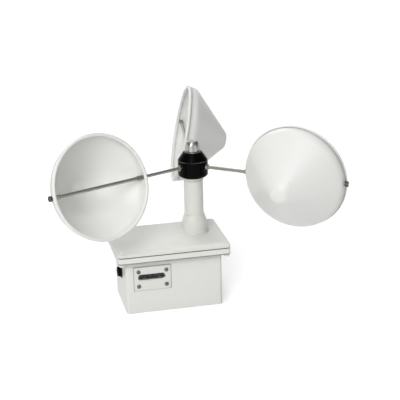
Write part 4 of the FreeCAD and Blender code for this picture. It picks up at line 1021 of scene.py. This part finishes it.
def top_nut():
    """A hexagon nut that narrows to a small flat top; its close rings let the cone cut the sides."""
    corner = CAP_FLATS / math.sqrt(3)
    face = CAP_FLATS / 2 * 0.96
    side_low = NUT_LOW + CAP_CHAMFER
    side_high = side_low + CAP_SIDE_H
    neck = (CAP_TIP_R + CAP_TIP_ROUND, NUT_HIGH - CAP_TIP_ROUND)
    outline = [(SPINDLE_R, NUT_LOW + 0.1, 0), (SPINDLE_R + 0.3, NUT_LOW, 0)]
    outline += straight((face, NUT_LOW), (corner, side_low), 5)[:-1]
    outline += straight((corner, side_low), (corner, side_high), 3)
    outline += straight((corner, side_high), neck, 12)[1:-1]
    outline += [
        (*neck, 0.8),
        (CAP_TIP_R, NUT_HIGH, 0.7),
        (3.0, NUT_HIGH, 0),
        (0, NUT_HIGH, 0),
        (0, NUT_LOW + CAP_BORE_H, 0),
        (SPINDLE_R, NUT_LOW + CAP_BORE_H, 0),
    ]
    nut = hexed("top_nut", CAP_FLATS, outline, [Matrix.Rotation(math.radians(30), 4, "Z")], side=16)
    stands_for(level(nut), "cap_nut", CHROME)


def rods():
    """Drawn rods with a small chamfer at each end, and rings between so that no face is long and thin."""
    chamfer = 0.4
    flank = straight((ARM_R, chamfer), (ARM_R, ARM_LENGTH - chamfer), 12)
    outline = [(0, 0, 0), (ARM_R - chamfer, 0, 0)] + flank
    outline += [(ARM_R - chamfer, ARM_LENGTH, 0), (0, ARM_LENGTH, 0)]
    parts = [lathe("arm_rods", outline, 40, on_arm(k, ARM_START_R), closed=False) for k in range(3)]
    stands_for(joined("arm_rods", parts), "arms", ARM_STEEL)


def sleeves():
    """A hexagon sleeve inside each cup at its inner rim, and one at its outer rim."""
    places = [on_arm(k, ARM_RADIUS - SLEEVE_AT, 20.0 * k) for k in range(3)]
    places += [on_arm(k, ARM_RADIUS + SLEEVE_AT - SLEEVE_L, 35.0 + 15.0 * k) for k in range(3)]
    outline = nut_outline(SLEEVE_FLATS, SLEEVE_L, 0.4)
    stands_for(level(hexed("rim_sleeves", SLEEVE_FLATS, outline, places)), "cup_sleeves", SLEEVE_STEEL)


def root_nuts():
    outline = [(ARM_R, 0, 0), (ROOT_NUT_R, 0, 0.35), (ROOT_NUT_R, ROOT_NUT_L, 0.2), (ARM_R, ROOT_NUT_L, 0)]
    parts = []
    for k in range(3):
        place = on_arm(k, ARM_RADIUS - ROOT_NUT_AT - ROOT_NUT_L)
        parts.append(lathe("root_nuts", outline, 64, place, wave=knurl(0.08, 16, 2.5)))
    stands_for(joined("root_nuts", parts), "cup_root_nuts", NUT_STEEL)


def end_nuts():
    outline = [
        (0, END_NUT_BORE_L, 0),
        (ARM_R, END_NUT_BORE_L, 0),
        (ARM_R, 0, 0.1),
        (END_NUT_R, 0, 0.3),
        (END_NUT_R, END_NUT_L, 0.8),
        (0, END_NUT_L, 0),
    ]
    parts = []
    for k in range(3):
        place = on_arm(k, ARM_RADIUS + END_NUT_AT, 35.0 * k)
        nut = lathe("end_nuts", outline, 64, place, closed=False)
        slot = block(9.0, SLOT_WIDTH, END_NUT_L - 1.0, END_NUT_L + 1.0, 0.05, place)
        parts.append(carve(nut, [slot]))
    stands_for(joined("end_nuts", parts), "cup_end_nuts", DARK_STEEL)


def cone_skin(inset):
    """From the apex to the skirt: a shallow tip, the cone and the bend, an inset inside the outer face."""
    c, n = math.cos(CONE_HALF), math.sin(CONE_HALF)
    skirt_r = SKIRT_R - inset
    blend = BLEND_R - inset
    reach = c * SKIRT_R + n * CORNER_H - inset
    corner_z = (reach - c * skirt_r) / n
    edge_z = (reach - c * CONE_EDGE_R) / n
    tangent = blend * math.tan(CONE_HALF / 2)
    tip_r = (CONE_EDGE_R ** 2 + TIP_RISE ** 2) / (2 * TIP_RISE)
    tip_half = math.asin(CONE_EDGE_R / tip_r)
    bend = (skirt_r - tangent * n, corner_z + tangent * c)
    points = arc((0, edge_z + TIP_RISE - tip_r), tip_r, math.pi / 2, math.pi / 2 - tip_half, 6)
    points += straight((CONE_EDGE_R, edge_z), bend, 14)[1:-1]
    points += arc((skirt_r - blend, corner_z - tangent), blend, CONE_HALF, 0.0, 8)
    return points


def cup(k):
    """One spun cup: cone, short skirt and a rolled bead, all one skin."""
    inner_r = SKIRT_R - SHEET
    outer = cone_skin(0.0) + [(SKIRT_R, SKIRT_START, 0)]
    inner = [(inner_r, SKIRT_START, 0)] + cone_skin(SHEET)[::-1]
    bead_start = math.acos((SKIRT_R - BEAD_CENTRE) / BEAD_R)
    bead_end = math.acos((inner_r - BEAD_CENTRE) / BEAD_R) - 2 * math.pi
    bead = arc((BEAD_CENTRE, 0), BEAD_R - BEAD_INSIDE, bead_start, bead_end, 28)
    first = len(outer)
    last = first + len(bead) - 1
    # Painted shade in the creases beside the bead, strongest where the skirt meets the bead.
    crease_shade = {first - 3: 0.06, first - 2: 0.2, first - 1: 0.42, first: 0.75, first + 1: 0.7, first + 2: 0.25}
    crease_shade.update({last: 0.15, last + 1: 0.05})

    out, side, up = arm_directions(k)
    t = math.radians(CUP_TWIST_DEG[k])
    apex = side * math.cos(t) - up * math.sin(t)
    rise = up * math.cos(t) + side * math.sin(t)
    origin = Vector((0, 0, ARM_Z)) + out * ARM_RADIUS - apex * ARM_BEHIND_RIM
    node = "cup_" + "abc"[k]
    piece = lathe(node + "_shell", outer + bead + inner, 192, frame_matrix(out, rise, apex, origin),
                  sharp=CUP_SHARP_DEG, crease_shade=crease_shade)
    stands_for(piece, node, CUP_ENAMEL)


# ---- window and gland ------------------------------------
def window_plate():
    """The blank window plate: softened edges and a chamfered slot."""
    half = Vector((PLATE_W, PLATE_H, 0)) / 2
    profile = [(0, 0, 0), (0, PLATE_T, 0.45), (3.0, PLATE_T, 0)]
    plate = shell("window_frame", -half, half, [(0, 2.0), (1.0, 1.2)], profile)
    c = SLOT_CHAMFER
    slot_profile = [(c, -1.0, 0), (c, PLATE_T - c, 0.5), (0, PLATE_T, 0), (0, PLATE_T + 1.0, 0)]
    slot_at = at(SLOT_X - PLATE_X, SLOT_Z - PLATE_Z)
    cutters = [obround(SLOT_L + 2 * c, SLOT_H + 2 * c, slot_profile, slot_at, steps=5)]
    cutters += [rod(SCREW_STEM_R, -1, PLATE_T + 1, at(x, z), 24) for x, z in plate_screw_points()]
    placed(carve(plate, cutters), out_of_front(PLATE_X, PLATE_Z))
    stands_for(level(plate), "window_plate", PLATE_ENAMEL)


def plate_screws():
    """Low domed heads with a slot, each turned its own way."""
    crown = SCREW_H * 0.45
    ball = (SCREW_R ** 2 + crown ** 2) / (2 * crown)
    outline = [
        (0, -SCREW_STEM_L, 0),
        (SCREW_STEM_R - 0.2, -SCREW_STEM_L, 0),
        (SCREW_STEM_R, -SCREW_STEM_L + 0.3, 0),
        (SCREW_STEM_R, 0, 0),
        (SCREW_R, 0, 0.1),
    ]
    for i in range(7):
        r = SCREW_R * (1 - i / 6)
        outline.append((r, SCREW_H - ball + math.sqrt(ball ** 2 - r ** 2), 0 if i else 0.25))
    parts = []
    for (x, z), turn in zip(plate_screw_points(), SCREW_TURNS):
        place = out_of_front(PLATE_X + x, PLATE_Z + z, BOX_Y0 - PLATE_T)
        place = place @ Matrix.Rotation(math.radians(turn), 4, "Z")
        head = lathe("plate_screws", outline, 48, place, closed=False)
        slot = block(7.0, SLOT_WIDTH, SCREW_H - 0.8, SCREW_H + 1.0, 0.05, place)
        parts.append(carve(head, [slot]))
    stands_for(joined("plate_screws", parts), "window_screws", SCREW_STEEL)


def gland():
    """Seal, knurled body and grooved cap of the cable gland on the left wall."""
    place = out_of_left(GLAND_Y, GLAND_Z)
    bore, collar_r, cap_r, tip_r, seal_r = 3.2, 6.4, 6.1, 2.9, 8.0
    seal = lathe("gland_ring", [
        (GLAND_R, 0, 0),
        (seal_r, 0, 0.1),
        (seal_r, 1.0, 0.4),
        (GLAND_R, 1.0, 0),
    ], 96, place)
    stands_for(seal, "gland_seal", RUBBER)
    stem = lathe("gland_stem", [
        (bore, -7.8, 0.2),
        (GLAND_R, -7.8, 0.5),
        (GLAND_R, 1.0, 0),
        (collar_r, 1.0, 0.2),
        (collar_r, 2.3, 0.3),
        (GLAND_R, 2.3, 0),
        (GLAND_R, 3.5, 0.2),
        (bore, 3.5, 0.1),
    ], 96, place, wave=knurl(0.12, 24, 6.2))
    stands_for(stem, "gland_body", GLAND_BLACK)
    cap = lathe("gland_dome", [
        (GLAND_R, 2.3, 0),
        (cap_r, 2.3, 0.2),
        (cap_r, 4.4, 0.5),
        (5.3, 5.3, 0.5),
        (tip_r, 5.3, 0.4),
        (tip_r, 3.5, 0),
        (GLAND_R, 3.5, 0),
    ], 192, place, wave=knurl(0.16, 24, 5.6, power=3))
    stands_for(cap, "gland_cap", GLAND_BLACK)


# ---- counter figures -------------------------------------
SHOWN = (7, 2, 5, 0, 1)
FIGURE_SIZE = 4.6
FIGURE_THICK = 0.04
FIGURE_NARROW = 0.62
FIGURE_LIFT = 0.035
FIRST_FIGURE_IN = 3.35
LAST_FIGURE_IN = 3.05


def digit_meshes():
    """The digits 0 to 9 as flat meshes in millimetres."""
    font = bpy.data.curves.new("figure", "FONT")
    font.size = FIGURE_SIZE
    font.align_x = "CENTER"
    font.align_y = "CENTER"
    font.extrude = FIGURE_THICK
    font.resolution_u = 3
    pen = put("figure", font)
    shapes = []
    for digit in range(10):
        font.body = str(digit)
        bpy.context.view_layer.update()
        graph = bpy.context.evaluated_depsgraph_get()
        shapes.append(bpy.data.meshes.new_from_object(pen.evaluated_get(graph)))
    bpy.data.objects.remove(pen)
    return shapes


def drum_figures():
    """Plain digits 0 to 9 round each drum, a hair proud of the rim."""
    low, high = lo("drum_3"), hi("drum_3")
    r = (high.y - low.y) / 2
    y = (high.y + low.y) / 2
    z = (high.z + low.z) / 2
    shapes = digit_meshes()
    for i, shown in enumerate(SHOWN):
        node = "drum_%d" % (i + 1)
        x0, x1 = lo(node).x, hi(node).x
        middle = {0: x0 + FIRST_FIGURE_IN, 4: x1 - LAST_FIGURE_IN}.get(i, (x0 + x1) / 2)
        bm = bmesh.new()
        for digit, shape in enumerate(shapes):
            start = len(bm.verts)
            bm.from_mesh(shape)
            bm.verts.ensure_lookup_table()
            turn = math.radians(36.0 * (digit - shown))
            for v in bm.verts[start:]:
                a = turn + v.co.y / r
                reach = r + v.co.z + FIGURE_LIFT
                x = middle + v.co.x * FIGURE_NARROW
                v.co = Vector((x, y - reach * math.cos(a), z + reach * math.sin(a)))
        mesh = mesh_from("figures_%d" % (i + 1), bm)
        mesh.transform(Matrix.Scale(MM, 4))
        figures = put(mesh.name, mesh)
        paint(figures, FIGURE_PAINT)
        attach(figures, "figure_drum_%d" % (i + 1))


for k in range(3):
    cup(k)
for make in (box_casting, lid_cover, seam_seal, pedestal_casting, column, collar, hub_body, lock_nuts,
             washer, top_nut, rods, sleeves, root_nuts, end_nuts, window_plate, plate_screws, gland,
             drum_figures):
    make()

# ---- floor, light, camera: metres ------------------------
ROOM = 0.24
FLOOR_HALF = 12.0
GLOW_REACH = (0.8, 3.0)
GLOW = (0.42, 0.86)
BACKDROP = (0.40, 0.80)
LAMP_SIZE = 1.1
LAMP_AIM = Vector((0.0, 0.0, 0.12))
LAMPS = (
    ("key", (-0.9, -1.5, 1.1), 20.5),
    ("front", (-0.3, -1.6, 1.2), 3.4),
    ("high", (-0.6, -1.3, 1.7), 5.0),
    ("top", (-0.1, 0.1, 2.0), 9.0),
    ("back", (-0.3, 1.4, 1.4), 9.0),
)
AZIMUTH = math.radians(-12.19)
ELEVATION = math.radians(19.54)
ROLL = math.radians(-1.40)
CAMERA_AIM = Vector((0.0, 0.0, 0.110))
CAMERA_RIGHT = 0.0074
CAMERA_UP = 0.01186
CAMERA_BACK = 1.65782
SENSOR = 36.0
LENS = 121.3641


def white_floor(m):
    """The floor looks white to the camera and in reflections, with more help far from the lamps."""
    camera, mirror = m.rays()
    away = m.node("ShaderNodeVectorMath", operation="LENGTH")
    m.link(m.coord.outputs["Object"], away.inputs[0])
    amount = m.ramp(away.outputs["Value"], *GLOW_REACH, *GLOW)
    glow = m.node("ShaderNodeEmission")
    m.link(m.math("MULTIPLY", m.math("MAXIMUM", camera, mirror), amount), glow.inputs["Strength"])
    both = m.node("ShaderNodeAddShader")
    m.link(m.bsdf.outputs[0], both.inputs[0])
    m.link(glow.outputs[0], both.inputs[1])
    m.link(both.outputs[0], m.tree.nodes["Material Output"].inputs["Surface"])


def make_floor():
    mesh = bpy.data.meshes.new("floor")
    s = FLOOR_HALF
    mesh.from_pydata([(-s, -s, 0), (s, -s, 0), (s, s, 0), (-s, s, 0)], [], [(0, 1, 2, 3)])
    floor = put("floor", mesh)
    m = Mat("floor paper", Roughness=0.9)
    mottle = m.ramp(m.noise(30.0), 0.3, 0.7, 0.0, 1.0)
    m.colour(m.blend(mottle, (0.80, 0.80, 0.80, 1.0), (0.83, 0.83, 0.83, 1.0)))
    white_floor(m)
    paint(floor, m.material)


def make_world():
    """A dim room. The camera sees white, and mirror and glass rays see white behind the object."""
    world = bpy.data.worlds.new("studio")
    bpy.context.scene.world = world
    world.use_nodes = True
    w = Nodes(world.node_tree)
    w.tree.nodes.clear()
    camera, mirror = w.rays()
    direction = w.node("ShaderNodeSeparateXYZ")
    w.link(w.node("ShaderNodeTexCoord").outputs["Generated"], direction.inputs[0])
    behind = w.ramp(direction.outputs["Y"], *BACKDROP, 0.0, 1.0)
    mix = w.node("ShaderNodeMixShader")
    w.link(w.math("MAXIMUM", camera, w.math("MULTIPLY", mirror, behind)), mix.inputs[0])
    for socket, strength in ((1, ROOM), (2, 1.0)):
        light = w.node("ShaderNodeBackground")
        light.inputs["Color"].default_value = (1.0, 1.0, 1.0, 1.0)
        light.inputs["Strength"].default_value = strength
        w.link(light.outputs[0], mix.inputs[socket])
    w.link(mix.outputs[0], w.node("ShaderNodeOutputWorld").inputs["Surface"])


def make_lamps():
    """Soft boxes turned to the object."""
    for name, location, power in LAMPS:
        lamp = bpy.data.lights.new(name, "AREA")
        lamp.size = LAMP_SIZE
        lamp.energy = power
        obj = put(name, lamp)
        obj.location = location
        obj.rotation_mode = "QUATERNION"
        obj.rotation_quaternion = (LAMP_AIM - Vector(location)).to_track_quat("-Z", "Y")


def make_camera():
    """The photograph's viewpoint."""
    a, e = AZIMUTH, ELEVATION
    back = Vector((math.sin(a) * math.cos(e), -math.cos(a) * math.cos(e), math.sin(e)))
    flat_right = Vector((math.cos(a), math.sin(a), 0))
    flat_up = back.cross(flat_right)
    right = flat_right * math.cos(ROLL) + flat_up * math.sin(ROLL)
    up = flat_up * math.cos(ROLL) - flat_right * math.sin(ROLL)
    place = CAMERA_AIM + right * CAMERA_RIGHT + up * CAMERA_UP + back * CAMERA_BACK
    data = bpy.data.cameras.new("camera")
    data.sensor_width = SENSOR
    data.lens = LENS
    camera = put("camera", data)
    camera.matrix_world = frame_matrix(right, up, back, place)
    bpy.context.scene.camera = camera


make_floor()
make_world()
make_lamps()
make_camera()
bpy.context.scene.view_settings.view_transform = "Standard"
